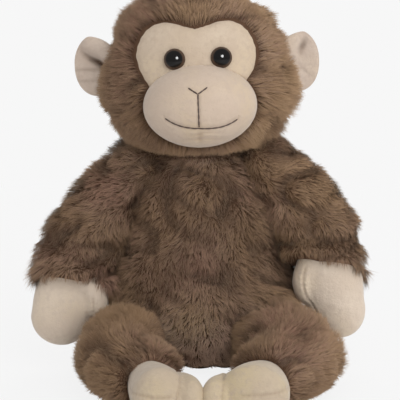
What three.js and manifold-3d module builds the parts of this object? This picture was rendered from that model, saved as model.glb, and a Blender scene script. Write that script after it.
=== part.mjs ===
import * as THREE from "three";
import { mergeVertices } from "three/addons/utils/BufferGeometryUtils.js";
import Module from "manifold-3d";

// A sitting plush monkey, in millimetres. +Z is up, the toy faces -Y, and its left side is +X.
// The origin is the middle of the flat of its seat.

// Fabric and clearances
const FABRIC = 2.4;
const GAP = 0.3;
const REST_CUT = 0.5;

// Torso, a pear shape of revolution that is shallower than it is wide
const SEAT_FLAT_RADIUS = 29;
const SEAT_HALF_WIDTH = 45;
const SEAT_HEIGHT = 12;
const BELLY_HALF_WIDTH = 51;
const BELLY_HEIGHT = 46;
const CHEST_HALF_WIDTH = 44;
const CHEST_HEIGHT = 101;
const SHOULDER_HALF_WIDTH = 33;
const SHOULDER_HEIGHT = 133;
const NECK_RADIUS = 20;
const TORSO_HEIGHT = 146;
const TORSO_DEPTH_SHARE = 0.86;
const NECK_HOLE_REACH = 12;

// Pouch of pellets on the floor of the torso
const POUCH_HALF_WIDTH = 24;
const POUCH_HEIGHT = 19;

// Neck, a firm gathered dome that the head turns and nods on
const NECK_BACK = 2;
const NECK_DOME_RADIUS = 24;

// Head, measured from the middle of the neck dome's base
const HEAD_ROLL = 2;
const HEAD_BOTTOM_RADIUS = 25;
const HEAD_BOTTOM = 5;
const JAW_HALF_WIDTH = 46;
const JAW_HEIGHT = 13;
const CHEEK_HALF_WIDTH = 61.5;
const CHEEK_HEIGHT = 41;
const TEMPLE_HALF_WIDTH = 56;
const TEMPLE_HEIGHT = 68;
const CROWN_HALF_WIDTH = 35;
const CROWN_HEIGHT = 102;
const CROWN_TOP_RADIUS = 8;
const HEAD_HEIGHT = 108;
const HEAD_DEPTH_SHARE = 0.86;

// Face panel, drawn on the front view of the head
const FACE_MIDDLE = 0.4;
const BROW_NOTCH_HEIGHT = 88;
const BROW_LOBE_OUT = 20.5;
const BROW_LOBE_HEIGHT = 92.5;
const FACE_HALF_WIDTH = 41;
const FACE_WIDE_HEIGHT = 71;
const FACE_WAIST_HALF_WIDTH = 32;
const FACE_WAIST_HEIGHT = 55;
const FACE_BOTTOM_HEIGHT = 48;
const FACE_BOTTOM_HALF_WIDTH = 28;
const FACE_TEMPLE_RUN = 6;
const FACE_TEMPLE_RISE = 11;
const FACE_WAIST_RISE = 5;

// Muzzle, an egg that stands out of the lower face
const MUZZLE_MIDDLE = 1;
const MUZZLE_HALF_WIDTH = 37;
const MUZZLE_HALF_HEIGHT = 27.5;
const MUZZLE_HEIGHT = 38.5;
const MUZZLE_FRONT = 77;
const MUZZLE_LENGTH = 31;

// Safety eyes: a dome, its shank and the washer behind the fabric
const EYE_RADIUS = 7;
const EYE_DOME = 5;
const EYE_RIM = 0.8;
const EYE_RIM_BEVEL = 0.6;
const EYE_OUT = 15.1;
const EYE_HEIGHT = 69;
const SHANK_RADIUS = 1.6;
const SHANK_LENGTH = 9;
const WASHER_RADIUS = 6;
const WASHER_THICKNESS = 1.4;

// Embroidered nose and mouth
const THREAD_RADIUS = 0.6;
const NOSE_HALF_WIDTH = 6.3;
const NOSE_TOP = 53;
const NOSE_JOIN = 49;
const NOSE_SAG = 1.2;
const MOUTH_LOW = 27.6;
const MOUTH_HALF_WIDTH = 23;
const MOUTH_CORNER = 33;

// Ears, round cups of two panels
const EAR_HALF_WIDTH = 14.5;
const EAR_HALF_HEIGHT = 21;
const EAR_OUT = 69;
const EAR_HEIGHT = 60.5;
const EAR_BACK = 1;
const EAR_CUP = 5;
const EAR_THICKNESS = 7;
const EAR_RIM = 1.2;
const EAR_ROOT_GAP = 0.5;
const EAR_ROOT_HALF_LENGTH = 13;
const EAR_FOLD = 20;

// Arms, which lift sideways about an axis along Y through the middle of the shoulder ball
const SHOULDER_OUT = 43;
const ARM_ROOT_RADIUS = 20;
const ARM_HALF_WIDTH = 24;
const ARM_HALF_DEPTH = 20;
const ELBOW_OUT = 73;
const ELBOW_FORWARD = 2.75;
const ELBOW_HEIGHT = 112;
const WRIST_OUT = 85;
const WRIST_HEIGHT = 75;
const WRIST_FORWARD = 11;
const CUFF_HALF_WIDTH = 25;
const CUFF_LENGTH = 8;

// Hands, mitts with a thumb lobe on the inner front
const WRIST_HALF_WIDTH = 15.5;
const WRIST_HALF_DEPTH = 13;
const HAND_HALF_WIDTH = 24.5;
const HAND_HALF_DEPTH = 15;
const HAND_END_HALF_WIDTH = 21.5;
const HAND_END_HALF_DEPTH = 14;
const PALM_SHARE = 0.55;
const HAND_OUT = 93;
const HAND_FORWARD = 19.5;
const HAND_BOTTOM = 19.5;
const HAND_TIP = 18;
const THUMB_RADIUS = 8;
const THUMB_LENGTH = 12;
const THUMB_HEIGHT = 53;
const THUMB_INWARD = 22;

// Legs, which swing about an axis along X through the hips
const HIP_OUT = 36;
const HIP_FORWARD = 20;
const LEG_RADIUS = 24;
const LEG_INNER_FACE = 26;
const LEG_CORE_RADIUS = 47;
const LEG_DOWN = 60;
const LEG_UP = 10;
const LEFT_KNEE_OUT = 65;
const RIGHT_KNEE_OUT = 56;
const KNEE_FORWARD = 70;
const THIGH_BOW = 5;
const CALF_RADIUS = 23;
const CALF_BOW = 2;
const CALF_REACH = 4;
const LEFT_ANKLE_OUT = 42;
const RIGHT_ANKLE_OUT = 36;
const ANKLE_FORWARD = 103;
const ANKLE_RADIUS = 22;
const ANKLE_CAP = 6;

// Feet, mitts with a big-toe lobe on the inner side
const LEFT_FOOT_OUT = 30;
const RIGHT_FOOT_OUT = 27;
const HEEL_HALF_WIDTH = 16;
const HEEL_HALF_HEIGHT = 16;
const FOOT_HALF_WIDTH = 22;
const FOOT_HALF_HEIGHT = 20;
const FOOT_END_HALF_WIDTH = 21;
const INSTEP_SHARE = 0.45;
const FOOT_FORWARD = 138;
const FOOT_TIP = 16;
const TOE_RADIUS = 8.5;
const TOE_LENGTH = 14;
const TOE_INWARD = 19;

// Closing seam at the back
const SEAM_BOTTOM = 62;
const SEAM_TOP = 112;
const SEAM_HALF_WIDTH = 1.6;
const SEAM_STITCHES = 9;

// Facets of the forms
const BODY_SIDES = 18;
const BODY_RINGS = 10;
const LIMB_SIDES = 10;
const LIMB_RINGS = 4;
const CAP_RINGS = 2;
const SMALL_SIDES = 8;
const SMALL_RINGS = 5;
const EYE_SIDES = 16;
const EYE_RINGS = 5;
const EAR_SIDES = 14;
const EAR_RINGS = 3;
const THREAD_SEGMENTS = 3;
const NOSE_STEPS = 8;
const MOUTH_STEPS = 14;
const OUTLINE_SEGMENTS = 4;
const PROFILE_SAMPLES = 150;

const BROWN = { color: 0x7d6450, roughness: 0.95, metalness: 0 };
const CREAM = { color: 0xd7c8b4, roughness: 0.9, metalness: 0 };
const FIBRE = { color: 0xf0eee9, roughness: 1, metalness: 0 };
const POUCH_CLOTH = { color: 0xdedad0, roughness: 0.9, metalness: 0 };
const EYE_PLASTIC = { color: 0x1c1412, roughness: 0.1, metalness: 0 };
const WASHER_PLASTIC = { color: 0xe8e6e0, roughness: 0.5, metalness: 0 };
const THREAD = { color: 0x55413a, roughness: 0.8, metalness: 0 };

const wasm = await Module();
wasm.setup();

const deg = THREE.MathUtils.degToRad;
const vec = (x, y, z) => new THREE.Vector3(x, y, z);

// Turns a closed geometry into a solid that can be cut and joined.
function solidOf(geometry) {
  const bare = geometry.index ? geometry.toNonIndexed() : geometry;
  const shape = new THREE.BufferGeometry().setAttribute("position", bare.getAttribute("position"));
  const merged = mergeVertices(shape, 1e-4);
  return new wasm.Manifold(
    new wasm.Mesh({
      numProp: 3,
      vertProperties: merged.attributes.position.array,
      triVerts: new Uint32Array(merged.index.array),
    }),
  );
}

function geometryOf(solid) {
  const mesh = solid.getMesh();
  return new THREE.BufferGeometry()
    .setAttribute("position", new THREE.BufferAttribute(mesh.vertProperties, 3))
    .setIndex(new THREE.BufferAttribute(mesh.triVerts, 1));
}

// Joins rings of points into a closed solid: the first and last ring are one point each, and the
// points of a ring go round by the right-hand rule about the way from the first ring to the last.
function skin(rings) {
  const sides = rings[1].length;
  const flat = rings.flat();
  const at = (i, j) => (i === 0 ? 0 : 1 + (i - 1) * sides + (j % sides));
  const end = flat.length - 1;
  const index = [];
  for (let j = 0; j < sides; j++) {
    index.push(0, at(1, j + 1), at(1, j));
    for (let i = 1; i < rings.length - 2; i++) {
      index.push(at(i, j), at(i, j + 1), at(i + 1, j + 1));
      index.push(at(i, j), at(i + 1, j + 1), at(i + 1, j));
    }
    index.push(at(rings.length - 2, j), at(rings.length - 2, j + 1), end);
  }
  return solidOf(new THREE.BufferGeometry().setFromPoints(flat).setIndex(index));
}

const angles = (sides) => Array.from({ length: sides }, (_, j) => (2 * Math.PI * j) / sides);

// A solid turned about Z from [radius, height] points that start and end on the axis, going up.
function turned(points, sides, depthShare = 1) {
  return skin(
    points.map(([r, z], i) =>
      i === 0 || i === points.length - 1
        ? [vec(0, 0, z)]
        : angles(sides).map((a) => vec(r * Math.cos(a), r * depthShare * Math.sin(a), z)),
    ),
  );
}

const rod = (radius, low, high, sides = SMALL_SIDES, depthShare = 1) =>
  turned([[0, low], [radius, low], [radius, high], [0, high]], sides, depthShare);

function ellipsoid(centre, radii, sides = SMALL_SIDES, rings = SMALL_RINGS) {
  const rows = Array.from({ length: rings + 1 }, (_, i) => (Math.PI * i) / rings);
  return turned(rows.map((t) => [Math.sin(t), -Math.cos(t)]), sides)
    .scale(radii)
    .translate(centre);
}

// Spaced points of a profile path, each moved in along its own normal.
function insetProfile(path, count, inset) {
  const points = path.getSpacedPoints(count);
  return points.map((p, i) => {
    const along = points[Math.min(i + 1, count)].clone().sub(points[Math.max(i - 1, 0)]).normalize();
    const onAxis = i === 0 || i === count;
    const rise = i === 0 ? inset : -inset;
    if (onAxis) return [0, p.y + rise];
    return [Math.max(p.x - along.y * inset, 0.1), p.y + along.x * inset];
  });
}

// A stuffed limb: rings square to a smooth spine, a half ball at its root and a rounded tip.
// Widths and depths are radii along it, and depthAxis is the way that the depth is measured.
function limb({ spine, widths, depths, tip, depthAxis }, inset = 0) {
  const curve = new THREE.CatmullRomCurve3(spine);
  const radius = (list, t) => {
    const row = new THREE.SplineCurve(list.map((r, i) => new THREE.Vector2(i, r)));
    return row.getPoint(t).y - inset;
  };
  const stations = [];
  for (let i = CAP_RINGS; i > 0; i--) {
    const turn = (Math.PI / 2) * (i / CAP_RINGS);
    stations.push({ t: 0, ahead: -(widths[0] - inset) * Math.sin(turn), share: Math.cos(turn) });
  }
  for (let i = 0; i <= LIMB_RINGS; i++) stations.push({ t: i / LIMB_RINGS, ahead: 0, share: 1 });
  for (let i = 1; i <= CAP_RINGS; i++) {
    const turn = (Math.PI / 2) * (i / CAP_RINGS);
    stations.push({ t: 1, ahead: (tip - inset) * Math.sin(turn), share: Math.cos(turn) });
  }
  const last = stations.length - 1;
  return skin(
    stations.map(({ t, ahead, share }, i) => {
      const along = curve.getTangent(t);
      const middle = curve.getPoint(t).addScaledVector(along, ahead);
      if (i === 0 || i === last) return [middle];
      const deep = depthAxis.clone().addScaledVector(along, -along.dot(depthAxis)).normalize();
      const wide = deep.clone().cross(along);
      return angles(LIMB_SIDES).map((a) =>
        middle
          .clone()
          .addScaledVector(wide, -radius(widths, t) * share * Math.sin(a))
          .addScaledVector(deep, radius(depths, t) * share * Math.cos(a)),
      );
    }),
  );
}

// A tube along a path, for threads
function tube(points, radius, steps) {
  const section = new THREE.Shape().absarc(0, 0, radius, 0, 2 * Math.PI);
  const extrudePath = new THREE.CatmullRomCurve3(points);
  const options = { steps, extrudePath, curveSegments: THREAD_SEGMENTS, bevelEnabled: false };
  return solidOf(new THREE.ExtrudeGeometry(section, options));
}

// A prism of an outline drawn on the front view, from the middle of the body forwards
function frontPrism(outline, depth) {
  const options = { depth, curveSegments: OUTLINE_SEGMENTS, bevelEnabled: false };
  return solidOf(new THREE.ExtrudeGeometry(outline, options).rotateX(Math.PI / 2));
}

function block(low, high) {
  const size = high.clone().sub(low);
  const middle = low.clone().add(high).multiplyScalar(0.5);
  return solidOf(new THREE.BoxGeometry(...size).translate(...middle));
}

const REACH = 400;
const floor = block(vec(-REACH, -REACH, -REACH), vec(REACH, REACH, 0));
const floorInside = (inset) => floor.translate(0, 0, inset);

function mesh(name, solid, finish) {
  const made = new THREE.Mesh(geometryOf(solid), new THREE.MeshStandardMaterial(finish));
  made.name = name;
  return made;
}

const monkey = new THREE.Group();

// Torso outline, from the middle of the seat up to the middle of the neck
const torsoProfile = new THREE.Path()
  .moveTo(0, -REST_CUT)
  .lineTo(SEAT_FLAT_RADIUS, -REST_CUT)
  .quadraticCurveTo(SEAT_HALF_WIDTH, -REST_CUT, SEAT_HALF_WIDTH, SEAT_HEIGHT)
  .splineThru([
    new THREE.Vector2(BELLY_HALF_WIDTH, BELLY_HEIGHT),
    new THREE.Vector2(CHEST_HALF_WIDTH, CHEST_HEIGHT),
    new THREE.Vector2(SHOULDER_HALF_WIDTH, SHOULDER_HEIGHT),
    new THREE.Vector2(NECK_RADIUS, TORSO_HEIGHT),
  ])
  .lineTo(0, TORSO_HEIGHT);
const torsoForm = (inset) =>
  turned(insetProfile(torsoProfile, BODY_RINGS, inset), BODY_SIDES, TORSO_DEPTH_SHARE);

// The room that a swinging leg sweeps: a disc about the hip axis and the wedge in front of it
const hip = { y: -HIP_FORWARD, z: LEG_RADIUS - REST_CUT };
function legRoom(side) {
  const r = LEG_RADIUS + GAP;
  const up = deg(LEG_UP);
  const down = deg(-LEG_DOWN);
  const top = new THREE.Vector2(-Math.sin(up), Math.cos(up)).multiplyScalar(r);
  const bottom = new THREE.Vector2(Math.sin(down), -Math.cos(down)).multiplyScalar(r);
  const far = (turn) => new THREE.Vector2(Math.cos(turn), Math.sin(turn)).multiplyScalar(REACH / 2);
  const outline = new THREE.Shape()
    .moveTo(...top)
    .absarc(0, 0, r, Math.PI / 2 + up, (3 * Math.PI) / 2 + down, false)
    .lineTo(...bottom.clone().add(far(down)))
    .lineTo(...top.clone().add(far(up)));
  const options = { depth: REACH, curveSegments: BODY_SIDES, bevelEnabled: false };
  const prism = new THREE.ExtrudeGeometry(outline, options);
  // The outline's first axis is forwards, its second is up, and the prism runs outwards
  const toPart = new THREE.Matrix4().makeBasis(vec(0, -1, 0), vec(0, 0, 1), vec(-1, 0, 0));
  prism.applyMatrix4(toPart);
  const start = side > 0 ? LEG_INNER_FACE + REACH : -LEG_INNER_FACE;
  return solidOf(prism).translate(start, hip.y, hip.z);
}

// The sleeve of an arm at rest, from the shoulder ball over the elbow to the cuff
const shoulder = (side) => [side * SHOULDER_OUT, 0, SHOULDER_HEIGHT];
const wristOf = (side) => vec(side * WRIST_OUT, -WRIST_FORWARD, WRIST_HEIGHT);
const armSleeve = (side) => ({
  spine: [
    vec(...shoulder(side)),
    vec(side * ELBOW_OUT, -ELBOW_FORWARD, ELBOW_HEIGHT),
    wristOf(side),
  ],
  widths: [ARM_ROOT_RADIUS, ARM_ROOT_RADIUS, ARM_HALF_WIDTH, CUFF_HALF_WIDTH],
  depths: [ARM_ROOT_RADIUS, ARM_ROOT_RADIUS, ARM_HALF_DEPTH, ARM_HALF_DEPTH],
  tip: CUFF_LENGTH,
  depthAxis: vec(0, 1, 0),
});

// A socket's facets lie inside its radius, so it is grown until they clear the ball that turns in it
const socketRadius = (radius, sides) => (radius + GAP) / Math.cos(Math.PI / sides) ** 2;
const ball = (centre, radius, sides) => ellipsoid(centre, [radius, radius, radius], sides, sides / 2);
const shoulderSocket = (side) =>
  ball(shoulder(side), socketRadius(ARM_ROOT_RADIUS, BODY_SIDES), BODY_SIDES);
const limbRooms = [-1, 1].flatMap((side) =>
  [legRoom(side), shoulderSocket(side), limb(armSleeve(side), -GAP)]);
const cutBy = (solid, cutters) => cutters.reduce((left, cutter) => left.subtract(cutter), solid);

const neckHole = rod(
  NECK_RADIUS - FABRIC,
  TORSO_HEIGHT - NECK_HOLE_REACH,
  TORSO_HEIGHT + NECK_HOLE_REACH,
  BODY_SIDES,
  TORSO_DEPTH_SHARE,
);
const pouchForm = (grow) =>
  ellipsoid(
    [0, 0, FABRIC + GAP],
    [
      POUCH_HALF_WIDTH + grow,
      (POUCH_HALF_WIDTH + grow) * TORSO_DEPTH_SHARE,
      POUCH_HEIGHT + grow,
    ],
    LIMB_SIDES,
  );

const torsoSkin = cutBy(torsoForm(0), [torsoForm(FABRIC), neckHole, floor, ...limbRooms]);
const torsoFill = cutBy(torsoForm(FABRIC + GAP), [
  pouchForm(GAP),
  floorInside(FABRIC + GAP),
  ...limbRooms,
]);
monkey.add(mesh("torso_skin", torsoSkin, BROWN));
monkey.add(mesh("torso_stuffing", torsoFill, FIBRE));
monkey.add(mesh("seat_bean_bag", pouchForm(0).subtract(floorInside(FABRIC + GAP)), POUCH_CLOTH));

// Closing seam: a zigzag of thread on the middle of the back
const backPoint = (x, z, out) => {
  const rows = insetProfile(torsoProfile, PROFILE_SAMPLES, -out);
  const row = rows.reduce((best, p) => (Math.abs(p[1] - z) < Math.abs(best[1] - z) ? p : best));
  return vec(x, row[0] * TORSO_DEPTH_SHARE, z);
};
const seamPoints = Array.from({ length: SEAM_STITCHES + 1 }, (_, i) =>
  backPoint(
    SEAM_HALF_WIDTH * (i % 2 ? 1 : -1),
    SEAM_BOTTOM + ((SEAM_TOP - SEAM_BOTTOM) * i) / SEAM_STITCHES,
    THREAD_RADIUS + GAP,
  ),
);
monkey.add(mesh("back_seam", tube(seamPoints, THREAD_RADIUS, SEAM_STITCHES), THREAD));

// Neck dome on the rim round the neck hole of the torso
const torsoTop = torsoSkin.boundingBox().max[2];
const neckMiddle = [0, NECK_BACK, TORSO_HEIGHT];
const neckDome = ball(neckMiddle, NECK_DOME_RADIUS, BODY_SIDES);
monkey.add(mesh("neck_gather", neckDome.subtract(floorInside(torsoTop + GAP)), BROWN));

// Head, in its own group at the neck, rolled a little to its right
const head = new THREE.Group();
head.position.set(...neckMiddle);
head.rotation.y = -deg(HEAD_ROLL);
monkey.add(head);

const headProfile = new THREE.Path()
  .moveTo(0, HEAD_BOTTOM)
  .lineTo(HEAD_BOTTOM_RADIUS, HEAD_BOTTOM)
  .splineThru([
    new THREE.Vector2(JAW_HALF_WIDTH, JAW_HEIGHT),
    new THREE.Vector2(CHEEK_HALF_WIDTH, CHEEK_HEIGHT),
    new THREE.Vector2(TEMPLE_HALF_WIDTH, TEMPLE_HEIGHT),
    new THREE.Vector2(CROWN_HALF_WIDTH, CROWN_HEIGHT),
    new THREE.Vector2(CROWN_TOP_RADIUS, HEAD_HEIGHT),
  ])
  .lineTo(0, HEAD_HEIGHT);
const headForm = (inset) =>
  turned(insetProfile(headProfile, BODY_RINGS, inset), BODY_SIDES, HEAD_DEPTH_SHARE);
const neckSocket = ball([0, 0, 0], socketRadius(NECK_DOME_RADIUS, BODY_SIDES), BODY_SIDES);

// The heart-shaped outline of the face panel, grown by a margin
function faceOutline(grow) {
  const right = (x) => FACE_MIDDLE + x + grow;
  const left = (x) => FACE_MIDDLE - x - grow;
  const lobe = BROW_LOBE_HEIGHT + grow;
  const low = FACE_BOTTOM_HEIGHT - grow;
  const notch = BROW_NOTCH_HEIGHT + grow;
  const wide = FACE_WIDE_HEIGHT;
  const waist = FACE_WAIST_HEIGHT;
  const temple = FACE_HALF_WIDTH - FACE_TEMPLE_RUN;
  const outline = new THREE.Shape().moveTo(FACE_MIDDLE, notch);
  outline.quadraticCurveTo(left(BROW_LOBE_OUT / 2), lobe, left(BROW_LOBE_OUT), lobe);
  outline.bezierCurveTo(left(temple), lobe, left(FACE_HALF_WIDTH), wide + FACE_TEMPLE_RISE,
    left(FACE_HALF_WIDTH), wide);
  outline.quadraticCurveTo(left(FACE_HALF_WIDTH), waist + FACE_WAIST_RISE,
    left(FACE_WAIST_HALF_WIDTH), waist);
  outline.lineTo(left(FACE_BOTTOM_HALF_WIDTH), low);
  outline.lineTo(right(FACE_BOTTOM_HALF_WIDTH), low);
  outline.lineTo(right(FACE_WAIST_HALF_WIDTH), waist);
  outline.quadraticCurveTo(right(FACE_HALF_WIDTH), waist + FACE_WAIST_RISE, right(FACE_HALF_WIDTH), wide);
  outline.bezierCurveTo(right(FACE_HALF_WIDTH), wide + FACE_TEMPLE_RISE, right(temple), lobe,
    right(BROW_LOBE_OUT), lobe);
  return outline.quadraticCurveTo(right(BROW_LOBE_OUT / 2), lobe, FACE_MIDDLE, notch);
}

const muzzleMiddle = [MUZZLE_MIDDLE, MUZZLE_LENGTH - MUZZLE_FRONT, MUZZLE_HEIGHT];
const muzzleForm = (inset) =>
  ellipsoid(
    [0, 0, 0],
    [MUZZLE_HALF_WIDTH - inset, MUZZLE_HALF_HEIGHT - inset, MUZZLE_LENGTH - inset],
    BODY_SIDES,
    BODY_SIDES / 2,
  )
    .rotate([90, 0, 0])
    .translate(muzzleMiddle);
const muzzleOutline = (grow) =>
  new THREE.Shape(
    angles(BODY_SIDES).map((a) => new THREE.Vector2(
      MUZZLE_MIDDLE + (MUZZLE_HALF_WIDTH + grow) * Math.cos(a),
      MUZZLE_HEIGHT + (MUZZLE_HALF_HEIGHT + grow) * Math.sin(a),
    )),
  );

// Where a line going forwards leaves a form, and the way that the form faces there
function frontOf(halfDepthAt, x, z) {
  const step = 0.5;
  const y = (a, b) => -halfDepthAt(a, b);
  const here = vec(x, y(x, z), z);
  const slopeX = (y(x + step, z) - y(x - step, z)) / (2 * step);
  const slopeZ = (y(x, z + step) - y(x, z - step)) / (2 * step);
  return { point: here, normal: vec(slopeX, -1, slopeZ).normalize() };
}
const headHalfDepth = (x, z) => {
  const rows = insetProfile(headProfile, PROFILE_SAMPLES, 0);
  const above = Math.max(rows.findIndex((p) => p[1] > z), 1);
  const [[r0, z0], [r1, z1]] = [rows[above - 1], rows[above]];
  const r = r0 + ((r1 - r0) * (z - z0)) / (z1 - z0);
  return HEAD_DEPTH_SHARE * Math.sqrt(Math.max(r * r - x * x, 0));
};
const muzzleHalfDepth = (x, z) => {
  const across = (x - MUZZLE_MIDDLE) / MUZZLE_HALF_WIDTH;
  const up = (z - MUZZLE_HEIGHT) / MUZZLE_HALF_HEIGHT;
  return MUZZLE_FRONT - MUZZLE_LENGTH + MUZZLE_LENGTH * Math.sqrt(1 - across ** 2 - up ** 2);
};

// Eyes: each sits in front of the face panel, and its shank goes through the panel to a washer
const eyeProfile = [[0, -SHANK_LENGTH], [SHANK_RADIUS, -SHANK_LENGTH], [SHANK_RADIUS, 0],
  [EYE_RADIUS - EYE_RIM_BEVEL, 0], [EYE_RADIUS, EYE_RIM]];
for (let i = 1; i < EYE_RINGS; i++) {
  const turn = (Math.PI / 2) * (i / EYE_RINGS);
  eyeProfile.push([EYE_RADIUS * Math.cos(turn), EYE_RIM + (EYE_DOME - EYE_RIM) * Math.sin(turn)]);
}
eyeProfile.push([0, EYE_DOME]);
const washerTop = -FABRIC - 4 * GAP;
const washer = rod(WASHER_RADIUS, washerTop - WASHER_THICKNESS, washerTop, LIMB_SIDES)
  .subtract(rod(SHANK_RADIUS + GAP, -SHANK_LENGTH, EYE_DOME));
const eyeSeats = [-1, 1].map((side) => {
  const seat = frontOf(headHalfDepth, FACE_MIDDLE + side * EYE_OUT, EYE_HEIGHT);
  const turn = new THREE.Quaternion().setFromUnitVectors(vec(0, 0, 1), seat.normal);
  const origin = seat.point.addScaledVector(seat.normal, GAP);
  const place = new THREE.Matrix4().compose(origin, turn, vec(1, 1, 1));
  return { side, put: (solid) => solid.transform(place.elements) };
});
const throughFace = eyeSeats.map(({ put }) => put(rod(SHANK_RADIUS + GAP, -SHANK_LENGTH, EYE_DOME)));
const hardwareRoom = eyeSeats.map(({ put }) =>
  put(rod(WASHER_RADIUS + GAP, -SHANK_LENGTH - GAP, EYE_DOME, LIMB_SIDES)));

const headShell = headForm(0).subtract(headForm(FABRIC));
const facePrism = (grow) => frontPrism(faceOutline(grow), REACH);
const muzzlePrism = (grow) => frontPrism(muzzleOutline(grow), REACH);
head.add(mesh("head_skin", cutBy(headShell, [neckSocket, facePrism(0), muzzlePrism(0)]), BROWN));
head.add(mesh(
  "face_panel",
  cutBy(headShell.intersect(facePrism(-GAP)), [muzzlePrism(0), ...throughFace]),
  CREAM,
));
const muzzleShell = muzzleForm(GAP).subtract(muzzleForm(GAP + FABRIC));
head.add(mesh("muzzle_panel", cutBy(muzzleShell, [headForm(FABRIC), neckSocket]), CREAM));
const headFill = headForm(FABRIC + GAP).add(
  muzzleForm(FABRIC + 3 * GAP).subtract(frontPrism(muzzleOutline(REACH), REACH).translate(0, REACH, 0)),
);
head.add(mesh("head_stuffing", cutBy(headFill, [neckSocket, ...hardwareRoom]), FIBRE));
for (const { side, put } of eyeSeats) {
  const name = side > 0 ? "left" : "right";
  head.add(mesh(`${name}_eye`, put(turned(eyeProfile, EYE_SIDES)), EYE_PLASTIC));
  const trimmed = put(washer).intersect(headForm(FABRIC + GAP));
  head.add(mesh(`${name}_eye_washer`, trimmed, WASHER_PLASTIC));
}

// Embroidery: threads that lie on the muzzle
const onMuzzle = (x, z) => {
  const seat = frontOf(muzzleHalfDepth, x, z);
  return seat.point.addScaledVector(seat.normal, THREAD_RADIUS);
};
const line = (points) => points.map(([x, z]) => onMuzzle(MUZZLE_MIDDLE + x, z));
const noseV = line([
  [NOSE_HALF_WIDTH, NOSE_TOP],
  [NOSE_HALF_WIDTH / 2, NOSE_JOIN + NOSE_SAG],
  [0, NOSE_JOIN],
  [-NOSE_HALF_WIDTH / 2, NOSE_JOIN + NOSE_SAG],
  [-NOSE_HALF_WIDTH, NOSE_TOP],
]);
const noseEnd = MOUTH_LOW + 2 * THREAD_RADIUS + GAP;
const noseLine = line([[0, NOSE_JOIN], [0, (NOSE_JOIN + noseEnd) / 2], [0, noseEnd]]);
const noseThreads = tube(noseV, THREAD_RADIUS, NOSE_STEPS)
  .add(tube(noseLine, THREAD_RADIUS, NOSE_STEPS / 2));
head.add(mesh("nose_stitching", noseThreads, THREAD));
const mouthLine = line([-1, -0.5, 0, 0.5, 1].map((share) => [
  MOUTH_HALF_WIDTH * share,
  MOUTH_LOW + (MOUTH_CORNER - MOUTH_LOW) * share ** 2,
]));
head.add(mesh("mouth_stitching", tube(mouthLine, THREAD_RADIUS, MOUTH_STEPS), THREAD));

// The line that an ear folds about: a chord of the side of the head
function earHinge(side) {
  const rootAt = (z) => {
    const rows = insetProfile(headProfile, PROFILE_SAMPLES, -EAR_ROOT_GAP);
    const row = rows.reduce((best, p) => (Math.abs(p[1] - z) < Math.abs(best[1] - z) ? p : best));
    return vec(side * row[0], EAR_BACK, row[1]);
  };
  const low = rootAt(EAR_HEIGHT - EAR_ROOT_HALF_LENGTH);
  const high = rootAt(EAR_HEIGHT + EAR_ROOT_HALF_LENGTH);
  return { origin: low.clone().lerp(high, 0.5), along: high.clone().sub(low).normalize() };
}

// Ears: lens-shaped cups, split into a front and a back panel. Each is cut to the side of the head,
// as it stands and as it lies when the ear is folded either way.
function earPanel(side, front) {
  const share = (i) => Math.sin((Math.PI / 2) * (i / EAR_RINGS));
  const middleY = (rho) => EAR_BACK + EAR_CUP * (1 / 2 - rho * rho);
  const half = (rho) => EAR_RIM + (EAR_THICKNESS / 2 - EAR_RIM) * Math.sqrt(1 - rho ** 4);
  const faces = front
    ? [(rho) => middleY(rho) - half(rho), (rho) => middleY(rho) - GAP / 2]
    : [(rho) => middleY(rho) + GAP / 2, (rho) => middleY(rho) + half(rho)];
  const ring = (rho, y) =>
    angles(EAR_SIDES).map((a) => vec(
      side * EAR_OUT + EAR_HALF_WIDTH * rho * Math.sin(a),
      y,
      EAR_HEIGHT + EAR_HALF_HEIGHT * rho * Math.cos(a),
    ));
  const rows = [[vec(side * EAR_OUT, faces[0](0), EAR_HEIGHT)]];
  for (let i = 1; i <= EAR_RINGS; i++) rows.push(ring(share(i), faces[0](share(i))));
  for (let i = EAR_RINGS; i > 0; i--) rows.push(ring(share(i), faces[1](share(i))));
  rows.push([vec(side * EAR_OUT, faces[1](0), EAR_HEIGHT)]);
  const { origin, along } = earHinge(side);
  const headTurned = (angle) => {
    const fold = new THREE.Matrix4().makeTranslation(...origin)
      .multiply(new THREE.Matrix4().makeRotationAxis(along, deg(angle)))
      .multiply(new THREE.Matrix4().makeTranslation(...origin.clone().negate()));
    return headForm(-EAR_ROOT_GAP).transform(fold.elements);
  };
  return cutBy(skin(rows), [-EAR_FOLD, 0, EAR_FOLD].map(headTurned));
}
for (const side of [-1, 1]) {
  const name = side > 0 ? "left" : "right";
  head.add(mesh(`${name}_ear_front`, earPanel(side, true), CREAM));
  head.add(mesh(`${name}_ear_back`, earPanel(side, false), CREAM));
}

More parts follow.
